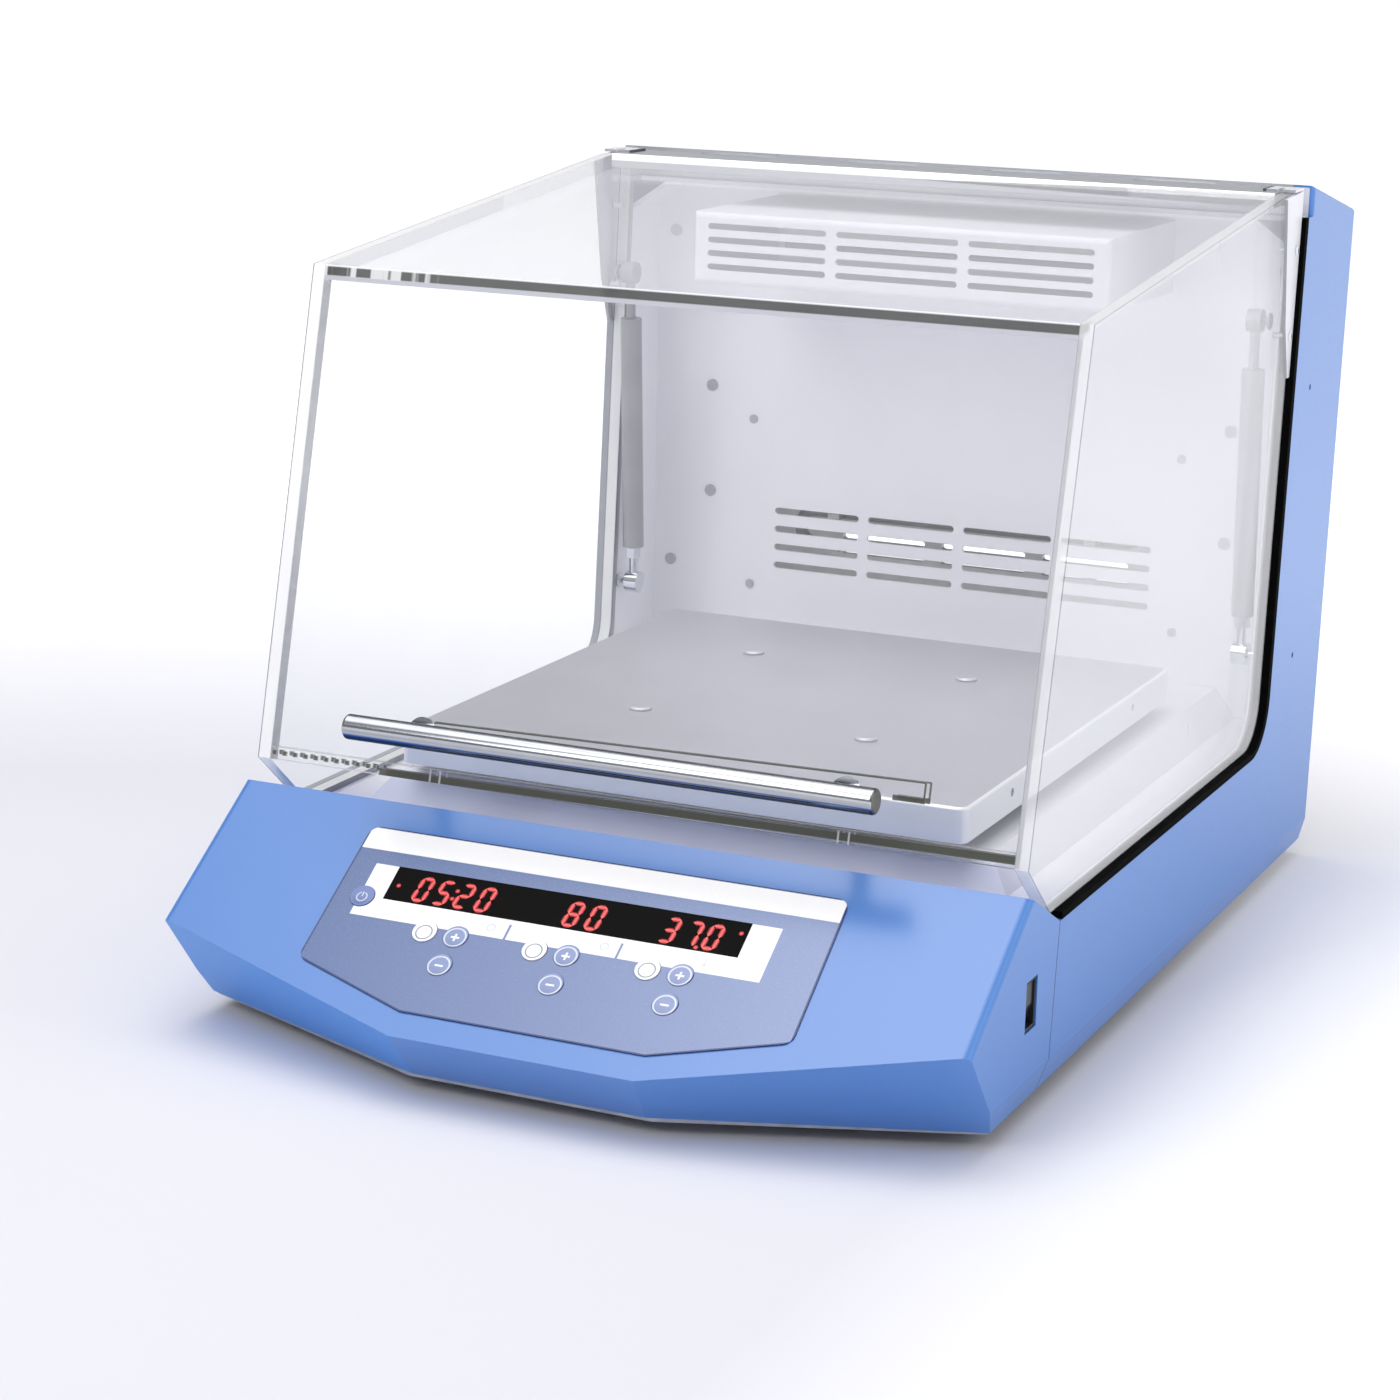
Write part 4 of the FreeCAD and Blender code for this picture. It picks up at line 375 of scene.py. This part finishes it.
def anodised(name):
    """Clear anodised extrusion with lines drawn along its length."""
    finish = Finish(name, ink(205, 206, 211), 0.34, metallic=0.85)
    drawn = finish.noise(0.8, 2.0, (80, 1, 1))
    cloud = finish.noise(45)
    colour = finish.blend((drawn * 0.5 + cloud * 0.4).held(), ink(214, 215, 220), ink(176, 178, 184))
    finish.set("Base Color", colour)
    finish.set("Roughness", 0.28 + drawn * 0.18)
    finish.bump(drawn, 0.01, 0.4)
    return finish.material


def hinge_extrusion(name):
    """Extruded hinge strip: grey on top, with a white lip along its front and a grey line under it, and a
    painted glow on its front, strongest on the lip.
    """
    finish = Finish(name, ink(205, 206, 211), 0.4, metallic=0.3, emission_strength=1.0)
    y, z = finish.place()[1:]
    drawn = finish.noise(0.8, 2.0, (80, 1, 1))
    front = finish.facing((0, -1, 0)).above(0.4, 0.2) * y.below(strip_front_y, 1)
    lip = front * z.above(lip_foot_z, 0.5)
    top = finish.blend(drawn * 0.6, ink(190, 191, 196), ink(160, 162, 168))
    finish.set("Base Color", finish.blend(lip, top, ink(253, 253, 254)))
    # The front is given a painted glow, stronger on the lip.
    glow = finish.blend(lip, (0.2, 0.2, 0.205, 1), (0.45, 0.45, 0.46, 1))
    finish.set("Emission Color", finish.blend(front, (0, 0, 0, 1), glow))
    finish.set("Roughness", 0.32 + drawn * 0.18)
    finish.bump(drawn, 0.01, 0.4)
    return finish.material


def arm_coat(name):
    """White coat of the hinge arms, with painted shade in the gaps at the cap's inner end and along the front
    edge.
    """
    finish = Finish(name, ink(232, 233, 238), 0.38, coat_weight=0.2, coat_roughness=0.3)
    grain = finish.noise(1.1)
    cloud = finish.noise(40)
    # Painted shade at the cap's inner end and on the front edge.
    gap_painted_shade = abs(finish.place()[0]).below(arm_cap_x, 0.3)
    front = finish.facing((0, -1, 0)).above(0.7, 0.1) * 0.55
    coat = finish.blend(cloud, ink(240, 241, 245), ink(222, 223, 230))
    finish.set("Base Color", finish.blend(gap_painted_shade.greater(front), coat, ink(70, 72, 78)))
    finish.set("Roughness", 0.34 + grain * 0.1)
    finish.bump(grain, 0.012, 0.4)
    return finish.material


def screw_heads(name):
    """Screws: blackened on the blue sides and bright on the white liner."""
    finish = Finish(name, ink(120, 121, 128), 0.4, metallic=0.5)
    rings = finish.noise(0.6, 2.0)
    outer = abs(finish.place()[0]).above(cover_side_x, 0.5)
    bright = finish.blend(rings, ink(206, 207, 212), ink(176, 177, 184))
    finish.set("Base Color", finish.blend(outer, bright, ink(34, 42, 66)))
    finish.set("Roughness", 0.35 + rings * 0.15)
    finish.bump(rings, 0.01, 0.4)
    return finish.material


def strut_paint(name):
    """Grey lacquer of a gas strut's tube."""
    finish = Finish(name, ink(166, 166, 172), 0.45, coat_weight=0.2, coat_roughness=0.3)
    cloud = finish.noise(20)
    peel = finish.noise(1.2)
    finish.set("Base Color", finish.blend(cloud, ink(176, 176, 181), ink(158, 158, 163)))
    finish.set("Roughness", 0.32 + peel * 0.12)
    finish.bump(peel, 0.01, 0.4)
    return finish.material


def soft_rubber(name):
    """Black rubber with a dusty bloom and fine mould grain."""
    finish = Finish(name, ink(17, 17, 19), 0.62)
    bloom = finish.noise(12, 3.0)
    grain = finish.noise(0.5)
    finish.set("Base Color", finish.blend(bloom, ink(13, 13, 15), ink(34, 34, 37)))
    finish.set("Roughness", 0.52 + grain * 0.24)
    finish.bump(grain, 0.02, 0.5)
    return finish.material


def seal_rubber(name):
    """Black lid seal; the left one is painted grey where it is seen from inside the chamber, as painted haze
    of the hood's side sheet.
    """
    finish = Finish(name, ink(5, 5, 5), 0.8, specular_ior_level=0.02)
    bloom = finish.noise(12, 3.0)
    grain = finish.noise(0.5)
    # Painted haze: the left seal's inner side is grey.
    inner = finish.place()[0].below(0, 2) * finish.facing((-1, 0, 0)).below(0.5, 0.2)
    dark = finish.blend(bloom, ink(4, 4, 4), ink(13, 13, 13))
    painted_haze_grey = finish.blend(bloom, ink(172, 174, 182), ink(156, 158, 166))
    finish.set("Base Color", finish.blend(inner, dark, painted_haze_grey))
    finish.set("Roughness", 0.62 + grain * 0.24)
    finish.bump(grain, 0.02, 0.5)
    return finish.material


def moulded_black(name, gloss=0.4):
    """Black moulded plastic with spark-eroded grain."""
    finish = Finish(name, ink(22, 22, 25), gloss)
    grain = finish.noise(0.35, 3.0)
    cloud = finish.noise(18)
    finish.set("Base Color", finish.blend(cloud, ink(18, 18, 21), ink(34, 34, 38)))
    finish.set("Roughness", gloss + grain * 0.2)
    finish.bump(grain, 0.012, 0.5)
    return finish.material


def sheet_steel(name, painted_inner_glow=0.0):
    """Zinc-coated sheet with its mottled crystals; its inner face may carry a painted glow."""
    finish = Finish(name, ink(176, 179, 184), 0.4, metallic=0.9, emission_strength=1.0)
    crystals = finish.node("ShaderNodeTexVoronoi", None,
                           {"Vector": finish.coordinates().outputs["Object"], "Scale": 90.0})
    grain = finish.noise(1.4, 3.0)
    mottle = (Value(finish, crystals.outputs["Distance"]) * 0.8 + grain * 0.2).held()
    finish.set("Base Color", finish.blend(mottle, ink(188, 190, 195), ink(150, 153, 159)))
    finish.set("Roughness", 0.32 + grain * 0.2)
    # Painted glow on the inner face, which lightens what shows through the vents.
    inner = finish.facing((0, -1, 0)).above(0.5, 0.2)
    painted_glow_colour = (painted_inner_glow, painted_inner_glow, painted_inner_glow, 1)
    finish.set("Emission Color", finish.blend(inner, (0, 0, 0, 1), painted_glow_colour))
    finish.bump(grain, 0.01, 0.4)
    return finish.material


def plated_tube(name):
    """Nickel-plated copper tube with a few darker stains."""
    finish = Finish(name, ink(176, 174, 170), 0.34, metallic=0.25)
    stain = finish.noise(16, 4.0)
    drawn = finish.noise(0.9, 2.0, (20, 1, 1))
    finish.set("Base Color", finish.blend((stain * 1.1 - 0.1).held(), ink(190, 190, 190), ink(158, 156, 154)))
    finish.set("Roughness", 0.22 + stain * 0.2)
    finish.bump(drawn, 0.01, 0.4)
    return finish.material


def lacquered_board(name):
    """Green circuit board with a fine grid of tracks under the lacquer."""
    finish = Finish(name, ink(22, 92, 50), 0.35, coat_weight=0.4, coat_roughness=0.2)
    track_pitch = 2.5
    lanes = (finish.place()[0] / track_pitch).fraction().between(0.3, 0.5, 0.08)
    patches = finish.noise(8).above(0.52, 0.02)
    tracks = (lanes * patches).held()
    finish.set("Base Color", finish.blend(tracks, ink(20, 84, 46), ink(46, 128, 70)))
    finish.set("Roughness", 0.3 + tracks * 0.15)
    finish.bump(tracks, 0.03, 0.5)
    return finish.material


# Clear acrylic of the hood

hinge_side_y = 190
outer_arris_x, inner_arris_x = 227.1, 220.1
edge_line_low_z, edge_line_high_z = 397.6, 402.5
front_sheet_y, front_sheet_z = -219.0, 134.0
front_sheet_lean = math.atan2(63.5, 269.4)
glue_left_x = -150


def clear_acrylic(name, outward, haze, glare, tone, edge_share, edge_colours, marks=None,
                  rear_share=None):
    """Polished sheet: clear on its broad faces, apart from their wash and marks, solid on its edges.

    haze and glare are the wash straight on and at a grazing angle. edge_share is how solid the cut
    edges look, and rear_share how solid they look at the hinge.
    """
    finish = Finish(name, tone, 0.05)
    weight = finish.node("ShaderNodeLayerWeight", None, {"Blend": 0.5})
    grazing = Value(finish, weight.outputs["Facing"]) ** 5
    broad = abs(finish.facing(outward)).above(0.5, 0.05)
    smear = finish.noise(60, 3.0, (1, 1, 2))
    scratch = finish.noise(1.5, 2.0, (1, 14, 40)).above(0.74, 0.03)
    wash = (haze + grazing * glare + smear * 0.03 + scratch * 0.02).held(0.0, 0.95)
    face = finish.blend(smear * 0.2, tone, ink(240, 241, 245))
    if marks:
        marked, face = marks(finish, face)
        wash = wash.greater(marked)
    if rear_share is not None:
        at_hinge = finish.place()[1].above(hinge_side_y, 2)
        edge_share = edge_share + at_hinge * (rear_share - edge_share)
    finish.set("Base Color", finish.blend(broad, edge_colours(finish), face))
    finish.set("Roughness", 0.04 + smear * 0.04 + (1 - broad) * 0.1)
    finish.thin(broad * wash + (1 - broad) * edge_share, (0.994, 0.996, 0.997, 1.0))
    return finish.material


def bright_edge(finish):
    """Near white cut edge with a fine grey line along both arrises, the outer one darker."""
    side = abs(finish.place()[0])
    outer = side.above(outer_arris_x, 0.4) * 0.85
    inner = side.below(inner_arris_x, 0.3) * 0.35
    streak = finish.noise(5, 2.0, (1, 6, 6))
    return finish.blend((outer + inner + streak * 0.1).held(), ink(253, 253, 254), ink(112, 114, 120))


def dark_front_edge(finish):
    """Cut edges of the front sheet, painted navy as a painted reflection of the blue console."""
    streak = finish.noise(9, 2.0, (6, 1, 1))
    return finish.blend((streak * 0.8).held(), ink(44, 54, 88), ink(70, 80, 110))


def dark_top_edge(finish):
    """Cut edges of the top sheet: dark along the front, in dashes at the left, and pale elsewhere."""
    x, y, z = finish.place()
    dashes = finish.noise(5.5, 1.0, (1, 60, 60)).above(0.5, 0.08) * x.below(-152, 10)
    front = y.below(-140, 8)
    dark = front * z.between(edge_line_low_z, edge_line_high_z, 0.7) * (1 - dashes * 0.75)
    streak = finish.noise(12, 2.0, (6, 1, 1))
    grey = finish.blend((streak * 0.8).held(), ink(70, 72, 70), ink(92, 94, 92))
    arris = front * z.below(edge_line_low_z, 0.7)
    pale = finish.blend(arris, ink(248, 248, 250), ink(198, 199, 208))
    return finish.blend(dark.held(), pale, grey)


def front_sheet_marks(finish, face):
    """What shows in the front sheet, by places across it and up it from its foot.

    It is the dark glued foot with its dashes, clear lines and seal, and a painted reflection of the handle's
    outline.
    """
    x, y, z = finish.place()
    sine, cosine = math.sin(front_sheet_lean), math.cos(front_sheet_lean)
    v = (y - front_sheet_y) * sine + (z - front_sheet_z) * cosine
    low = 0.67 + x * 0.0072
    high = 5.0 + x * 0.008
    foot = x.above(glue_left_x, 1) * (v - low).above(0, 0.4) * (high - v).above(0, 0.4)
    dashes = (x / 6.7).fraction().between(0.3, 0.8, 0.2) * v.between(2.6, 5.2, 0.5)
    dashes = dashes * x.below(glue_left_x, 1)
    lines = abs(abs(abs(x - 5.5) - 120.5) - 3).below(0.5, 0.4) * v.below(7, 0.5)
    seal = abs(v - (7.4 + x * 0.002)).below(0.35, 0.3) * 0.5
    # Painted reflection of the handle's outline.
    painted_handle_reflection = abs(v - (34.5 + x * 0.0159)).below(0.5, 0.4) * x.between(-123, 167.5, 1)
    painted_handle_reflection += abs(x - 167.4).below(0.6, 0.4) * v.between(26.6, 37.4, 0.5)
    painted_handle_reflection += v.between(26.2, 29.2, 0.5) * x.between(150, 168, 0.5)
    dark = (foot + dashes + seal + painted_handle_reflection).held() * (1 - lines)
    return (dark * 0.93 + lines * 0.5).held(), finish.blend(dark, face, ink(84, 86, 78))


# Printed panel

slope_foot_y, slope_foot_z = -348.1, 37.1
slope_angle = math.atan2(122.1 - slope_foot_z, 122.6)
film_side, film_top, film_foot = 140.5, 130.4, 15.4
band_left, band_right, band_low, band_high = -126.3, 112, 70.6, 105.8
icon_height, icon_radius = 76.6, 2.2
bulb_x = 79.5
key_radius = 6.8


def distance(across, along):
    """How far a step across and along leads."""
    return (across * across + along * along) ** 0.5


def on_slope(x, along, height):
    """Point in metres from a place across and up the slope and a height over it."""
    y = slope_foot_y + along * math.cos(slope_angle) - height * math.sin(slope_angle)
    z = slope_foot_z + along * math.sin(slope_angle) + height * math.cos(slope_angle)
    return Vector((x, y, z)) * MM


def up_slope(y, z):
    """How far a place lies up the slope from its foot, in millimetres."""
    return (y - slope_foot_y) * math.cos(slope_angle) + (z - slope_foot_z) * math.sin(slope_angle)


def slope_place(finish):
    """Across and up-the-slope values in millimetres for a surface on the slope."""
    x, y, z = finish.place()
    return x, up_slope(y, z)


def printed_film(name):
    """Blue-grey film with its white top stripe, white band, group marks and dark outline."""
    finish = Finish(name, ink(140, 158, 205), 0.3, coat_weight=0.2, coat_roughness=0.2)
    x, s = slope_place(finish)
    side = abs(x)
    # How far it is to the film's long sides, its slanted front sides and its nearest edge.
    to_side = film_side + (film_top - s) * 0.0162 - side
    to_slant = (142 - side) * 0.3006 + (s - 38) * 0.9537
    rim = to_side.lesser(to_slant).lesser(film_top - s).lesser(s - film_foot)
    grain = finish.noise(0.6)
    rightward = ((x + 140) / 280 + grain * 0.05).held()
    film = finish.blend(rightward, ink(86, 109, 157), ink(128, 144, 188))
    stripe = s.above(115.1, 0.3)
    band = x.between(band_left, band_right, 0.3) * s.between(band_low, band_high, 0.3)
    gaps = abs(abs(x + 1.0) - 32.5).below(0.7, 0.3) * s.below(80.5, 0.5)
    clock = abs(distance(x + 43.5, s - icon_height) - icon_radius).below(0.35, 0.3)
    turning = abs(distance(x - 22.5, s - icon_height) - icon_radius).below(0.35, 0.3)
    bulb = distance(x - bulb_x, s - 75.6).below(0.9, 0.3)
    stem = abs(x - bulb_x).below(0.3, 0.2) * s.between(76, 79.5, 0.3)
    icons = (clock + turning + bulb + stem).held() * 0.45
    white = (stripe + band * (1 - gaps)).held()
    printed = finish.blend(white, film, ink(250, 250, 252))
    marked = finish.blend(icons, printed, ink(120, 130, 160))
    finish.set("Base Color", finish.blend(rim.below(0.9, 0.4), marked, ink(28, 50, 108)))
    finish.set("Roughness", 0.2 + grain * 0.12)
    finish.bump(grain, 0.006, 0.4)
    return finish.material


def key_film(name, centre, kind):
    """Domed key on the film, with its printed ring and sign and painted shade on the dome's lower side."""
    dark = kind == "standby"
    ground = ink(74, 100, 160) if dark else ink(150, 165, 212)
    finish = Finish(name, ground, 0.28, coat_weight=0.5, coat_roughness=0.12)
    x, s = slope_place(finish)
    across, along = x - centre[0], s - centre[1]
    reach = distance(across, along)
    grain = finish.noise(0.5)
    ring = reach.between(5.45, 6.35, 0.25)
    # Painted shade on the dome's lower side.
    painted_dome_shade = ((-1 * along) / key_radius).held() * reach.below(5.4, 0.4)
    if kind == "set":
        body = finish.blend(reach.between(4.1, 4.85, 0.25), ink(250, 250, 252), ink(120, 126, 148))
        sign = ring
    elif kind == "standby":
        body = finish.blend(painted_dome_shade, ink(96, 120, 178), ink(52, 78, 140))
        gap = along.above(1.2, 0.3) * abs(across).below(1.1, 0.3)
        arc = abs(reach - 2.9).below(0.35, 0.25) * (1 - gap)
        stem = abs(across).below(0.35, 0.25) * along.between(0.3, 3.4, 0.3)
        sign = (arc + stem).held() * 0.55
    else:
        body = finish.blend(painted_dome_shade * 0.7, ink(124, 141, 188), ink(96, 113, 163))
        bar = abs(along).below(0.55, 0.25) * abs(across).below(2.4, 0.25)
        post = abs(across).below(0.55, 0.25) * abs(along).below(2.4, 0.25)
        sign = ((bar + post).held() if kind == "plus" else bar) + ring * 0.6
    finish.set("Base Color", finish.blend(sign.held(), body, ink(250, 251, 253)))
    finish.set("Roughness", 0.24 + grain * 0.1)
    finish.bump((grain * 0.1 + (1 - reach / key_radius)).held(), 0.25, 0.5)
    return finish.material


def smoked_window(name):
    """Black display window with a faint smear."""
    finish = Finish(name, ink(12, 11, 10), 0.6, specular_ior_level=0.06)
    smear = finish.noise(25, 3.0)
    finish.set("Base Color", finish.blend(smear, ink(8, 7, 7), ink(17, 16, 15)))
    finish.set("Roughness", 0.5 + smear * 0.2)
    return finish.material


def lit_red(name, colour, strength):
    """Glow of the display's segments, a little uneven along each."""
    finish = Finish(name, ink(120, 12, 16), 0.4, emission_strength=strength)
    pool = finish.noise(1.6)
    dimmer = tuple(part * 0.75 for part in colour[:3]) + (1.0,)
    finish.set("Emission Color", finish.blend(pool, colour, dimmer))
    return finish.material


# Each CAD piece gets its finish

blue = powder_coat("blue_powder_coat", (0.072, 0.24, 0.66, 1.0), (0.058, 0.2, 0.58, 1.0))
enamel = white_enamel("white_enamel", ink(247, 247, 251), ink(238, 238, 245))
# The liner has a faint painted glow that brightens the chamber.
liner_enamel_painted_glow = white_enamel("liner_enamel_painted_glow", ink(247, 247, 251), ink(238, 238, 245), 0.05)
tray_grey = satin_tray("satin_tray", ink(232, 233, 238), ink(252, 252, 254))
bolt_grey = satin_tray("satin_bolt", ink(188, 189, 196), ink(212, 213, 219))
chrome = polished_bar("polished_steel")
steel = turned_steel("turned_steel", ink(190, 191, 195), ink(140, 141, 146))
extrusion = anodised("anodised_extrusion")
strut = strut_paint("strut_lacquer")
rubber = soft_rubber("soft_rubber")
black = moulded_black("moulded_black")
zinc = sheet_steel("zinc_sheet")

by_node = {
    "front_console_shell": blue,
    "rear_body_shell": blue,
    "base_pan": zinc,
    "rear_cover": sheet_steel("rear_sheet", 0.14),
    "chamber_floor": floor_enamel("floor_enamel"),
    "rear_liner": liner_enamel_painted_glow,
    "air_duct_cover": enamel,
    "hinge_arms": arm_coat("arm_coat"),
    "hinge_strip": hinge_extrusion("hinge_extrusion"),
    "tray": tray_grey,
    "tray_bolts": bolt_grey,
    "handle_bar": handle_tube("handle_tube"),
    "handle_standoffs": chrome,
    "strut_rod_left": chrome,
    "strut_rod_right": chrome,
    "strut_lower_studs": chrome,
    "hood_screws": chrome,
    "cover_screws": screw_heads("screw_heads"),
    "strut_cylinder_left": strut,
    "strut_cylinder_right": strut,
    "hinge_housing_leaf": extrusion,
    "tray_carrier": extrusion,
    "drive_pulley": extrusion,
    "hinge_pin": steel,
    "drive_plate": steel,
    "bearings": steel,
    "fan_motor": steel,
    "heater": steel,
    "temperature_sensor": steel,
    "drive_crank": steel,
    "counterweight": steel,
    "idler_crank_left": steel,
    "idler_crank_right": steel,
    "motor_pulley": steel,
    "feet": rubber,
    "lid_seals": seal_rubber("seal_rubber"),
    "drive_belt": rubber,
    "motor": black,
    "switch_housing": black,
    "power_inlet": black,
    "fan_rotor": black,
    "rocker_switch": moulded_black("rocker_gloss", 0.2),
    "circuit_boards": lacquered_board("circuit_board"),
    "cooling_coil": plated_tube("plated_tube"),
    "membrane_overlay": printed_film("printed_film"),
    "display_module": smoked_window("smoked_window"),
    "hood_front": clear_acrylic("acrylic_front", (0, -0.973, 0.23), 0.02, 0.5, ink(250, 250, 252),
                                0.93, dark_front_edge, front_sheet_marks),
    "hood_top": clear_acrylic("acrylic_top", (0, -0.184, 0.983), 0.03, 0.8, ink(236, 236, 242),
                              0.93, dark_top_edge, rear_share=0.12),
    "hood_side_left": clear_acrylic("acrylic_left", (1, 0, 0), 0.03, 0.5, ink(250, 250, 252),
                                    0.93, bright_edge),
    "hood_side_right": clear_acrylic("acrylic_right", (1, 0, 0), 0.2, 0.5, ink(250, 250, 252),
                                     0.5, bright_edge),
}
for name, piece in nodes.items():
    if name.startswith("key_"):
        low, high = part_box(name)
        middle = (low + high) / 2 / MM
        centre = (middle.x, up_slope(middle.y, middle.z))
        by_node[name] = key_film(name + "_film", centre, name.split("_")[-1])
    piece.data.materials.clear()
    piece.data.materials.append(by_node[name])


# Lit digits of the display

window_top = 1.0
digit_height = 93.3
lit_bars = {"0": "abcdef", "2": "abged", "3": "abgcd", "5": "afgcd", "7": "abc", "8": "abcdefg"}


def prism(shape, outline, low, high):
    """Adds a thin flat piece with an outline of slope places between two heights."""
    rings = [[shape.verts.new(on_slope(x, s, height)) for x, s in outline] for height in (low, high)]
    shape.faces.new(rings[1])
    shape.faces.new(list(reversed(rings[0])))
    count = len(outline)
    for index in range(count):
        following = (index + 1) % count
        shape.faces.new([rings[0][index], rings[0][following], rings[1][following], rings[1][index]])


def segment_outline(start, end, stroke):
    """Six-sided bar between two places, pointed at both ends."""
    along = (Vector(end) - Vector(start)).normalized()
    across = Vector((-along.y, along.x)) * stroke / 2
    first = Vector(start) + along * stroke * 0.12
    last = Vector(end) - along * stroke * 0.12
    point = along * stroke / 2
    lower = [first + point - across, last - point - across]
    upper = [last - point + across, first + point + across]
    return [first] + lower + [last] + upper


def digit_outlines(character, centre, stroke):
    """Outlines of one seven-segment digit's lit bars."""
    half_width, half_height, slant = 3.1, 7.4, 0.09

    def corner(side, level):
        return (centre[0] + side * half_width + level * half_height * slant, centre[1] + level * half_height)

    ends = {
        "a": (corner(-1, 1), corner(1, 1)),
        "b": (corner(1, 1), corner(1, 0)),
        "c": (corner(1, 0), corner(1, -1)),
        "d": (corner(-1, -1), corner(1, -1)),
        "e": (corner(-1, 0), corner(-1, -1)),
        "f": (corner(-1, 1), corner(-1, 0)),
        "g": (corner(-1, 0), corner(1, 0)),
    }
    return [segment_outline(*ends[letter], stroke) for letter in lit_bars[character]]


def dot_outline(centre, radius):
    """Outline of a round dot with twelve corners."""
    turns = [index / 12 * math.tau for index in range(12)]
    return [(centre[0] + radius * math.cos(turn), centre[1] + radius * math.sin(turn)) for turn in turns]


def lit_piece(name, outlines, low, high, material):
    """Adds a glowing piece that lies over the display window."""
    shape = bmesh.new()
    for outline in outlines:
        prism(shape, outline, low, high)
    bmesh.ops.recalc_face_normals(shape, faces=shape.faces)
    mesh = bpy.data.meshes.new(name)
    shape.to_mesh(mesh)
    shape.free()
    mesh.materials.append(material)
    piece = bpy.data.objects.new(name, mesh)
    bpy.context.scene.collection.objects.link(piece)
    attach(piece, "housing")


red_core = lit_red("segment_core", ink(250, 106, 104), 1.0)
red_halo = lit_red("segment_halo", ink(186, 22, 32), 1.0)

# Each reading has its digits, with their places across, and its dots.
readings = {
    "timer": ([("0", -91.8), ("5", -79.4), ("2", -67.0), ("0", -54.4)],
              [(-72.2, 96.0), (-73.2, 90.6), (-106.9, 93.4)]),
    "speed": ([("8", -2.3), ("0", 10.7)], []),
    "heat": ([("3", 53.4), ("7", 66.2), ("0", 77.8)], [(71.0, 85.4), (91.6, 98.6)]),
}

# Each layer has its stroke, its dots' radius and its heights over the window.
layers = (
    ("halo", 2.7, 1.3, 0.01, 0.05, red_halo),
    ("core", 1.1, 0.5, 0.06, 0.1, red_core),
)
for reading, (digits, dots) in readings.items():
    for part, stroke, radius, low, high, material in layers:
        outlines = []
        for character, x in digits:
            outlines += digit_outlines(character, (x, digit_height), stroke)
        outlines += [dot_outline(place, radius) for place in dots]
        heights = (window_top + low, window_top + high)
        lit_piece(reading + "_digits_" + part, outlines, *heights, material)


# Floor, sky and lights

floor_radius, floor_rim = 60, 4


def pale_floor():
    """Pale floor with a painted glow that grows away from the part and to its right, like a lit studio cove.
    """
    finish = Finish("pale_floor", ink(246, 246, 250), 0.9, emission_strength=1.0)
    cloud = finish.noise(900)
    x, y = (value * MM for value in finish.place()[:2])
    # Painted glow, growing away from the part and to its right.
    far = distance(x + 0.3, y + 0.5).above(1.25, 1.15).greater(x.above(0.44, 0.46))
    finish.set("Base Color", finish.blend(cloud, ink(231, 231, 237), ink(225, 225, 232)))
    finish.set("Emission Color", finish.blend(far, (0, 0, 0, 1), (0.68, 0.68, 0.67, 1)))
    return finish.material


shape = bmesh.new()
bmesh.ops.create_circle(shape, cap_ends=True, segments=128, radius=floor_radius)
rim = bmesh.ops.extrude_edge_only(shape, edges=shape.edges[:])
raised = [part for part in rim["geom"] if isinstance(part, bmesh.types.BMVert)]
bmesh.ops.translate(shape, verts=raised, vec=(0, 0, floor_rim))
ground = bpy.data.meshes.new("floor")
shape.to_mesh(ground)
shape.free()
ground.materials.append(pale_floor())
floor = bpy.data.objects.new("floor", ground)
bpy.context.scene.collection.objects.link(floor)

sky = bpy.data.worlds.new("studio")
sky.use_nodes = True
background = sky.node_tree.nodes["Background"]
background.inputs["Color"].default_value = (0.96, 0.965, 1.0, 1.0)
background.inputs["Strength"].default_value = 0.31
bpy.context.scene.world = sky
bpy.context.scene.view_settings.view_transform = "Standard"


def aimed(name, kind, place, target, **settings):
    """Light that looks at a point."""
    data = bpy.data.lights.new(name, kind)
    for key, value in settings.items():
        setattr(data, key, value)
    lamp = bpy.data.objects.new(name, data)
    look = Vector(target) - Vector(place)
    aim = look.to_track_quat("-Z", "Y").to_matrix().to_4x4()
    lamp.matrix_world = Matrix.Translation(Vector(place)) @ aim
    bpy.context.scene.collection.objects.link(lamp)


aimed("day", "SUN", (0.4, -0.7, 3.0), (0, 0, 0),
      energy=0.45, angle=math.radians(70), color=(1.0, 0.99, 0.97))
aimed("overhead", "AREA", (-0.4, -0.2, 2.5), (0, -0.2, 0),
      energy=37, size=2.6, color=(1.0, 0.995, 0.985))
aimed("right_side", "AREA", (2.3, 0.2, 1.2), (0.2, 0.1, 0.2), energy=11.5, size=1.5)
aimed("front_left", "AREA", (-0.8, -2.5, 2.1), (0, 0.1, 0.25), energy=25, size=1.4)
aimed("slope_glow", "AREA", (-0.5, -0.3, 2.5), (0.15, -0.3, 0.1), energy=3.8, size=0.9)
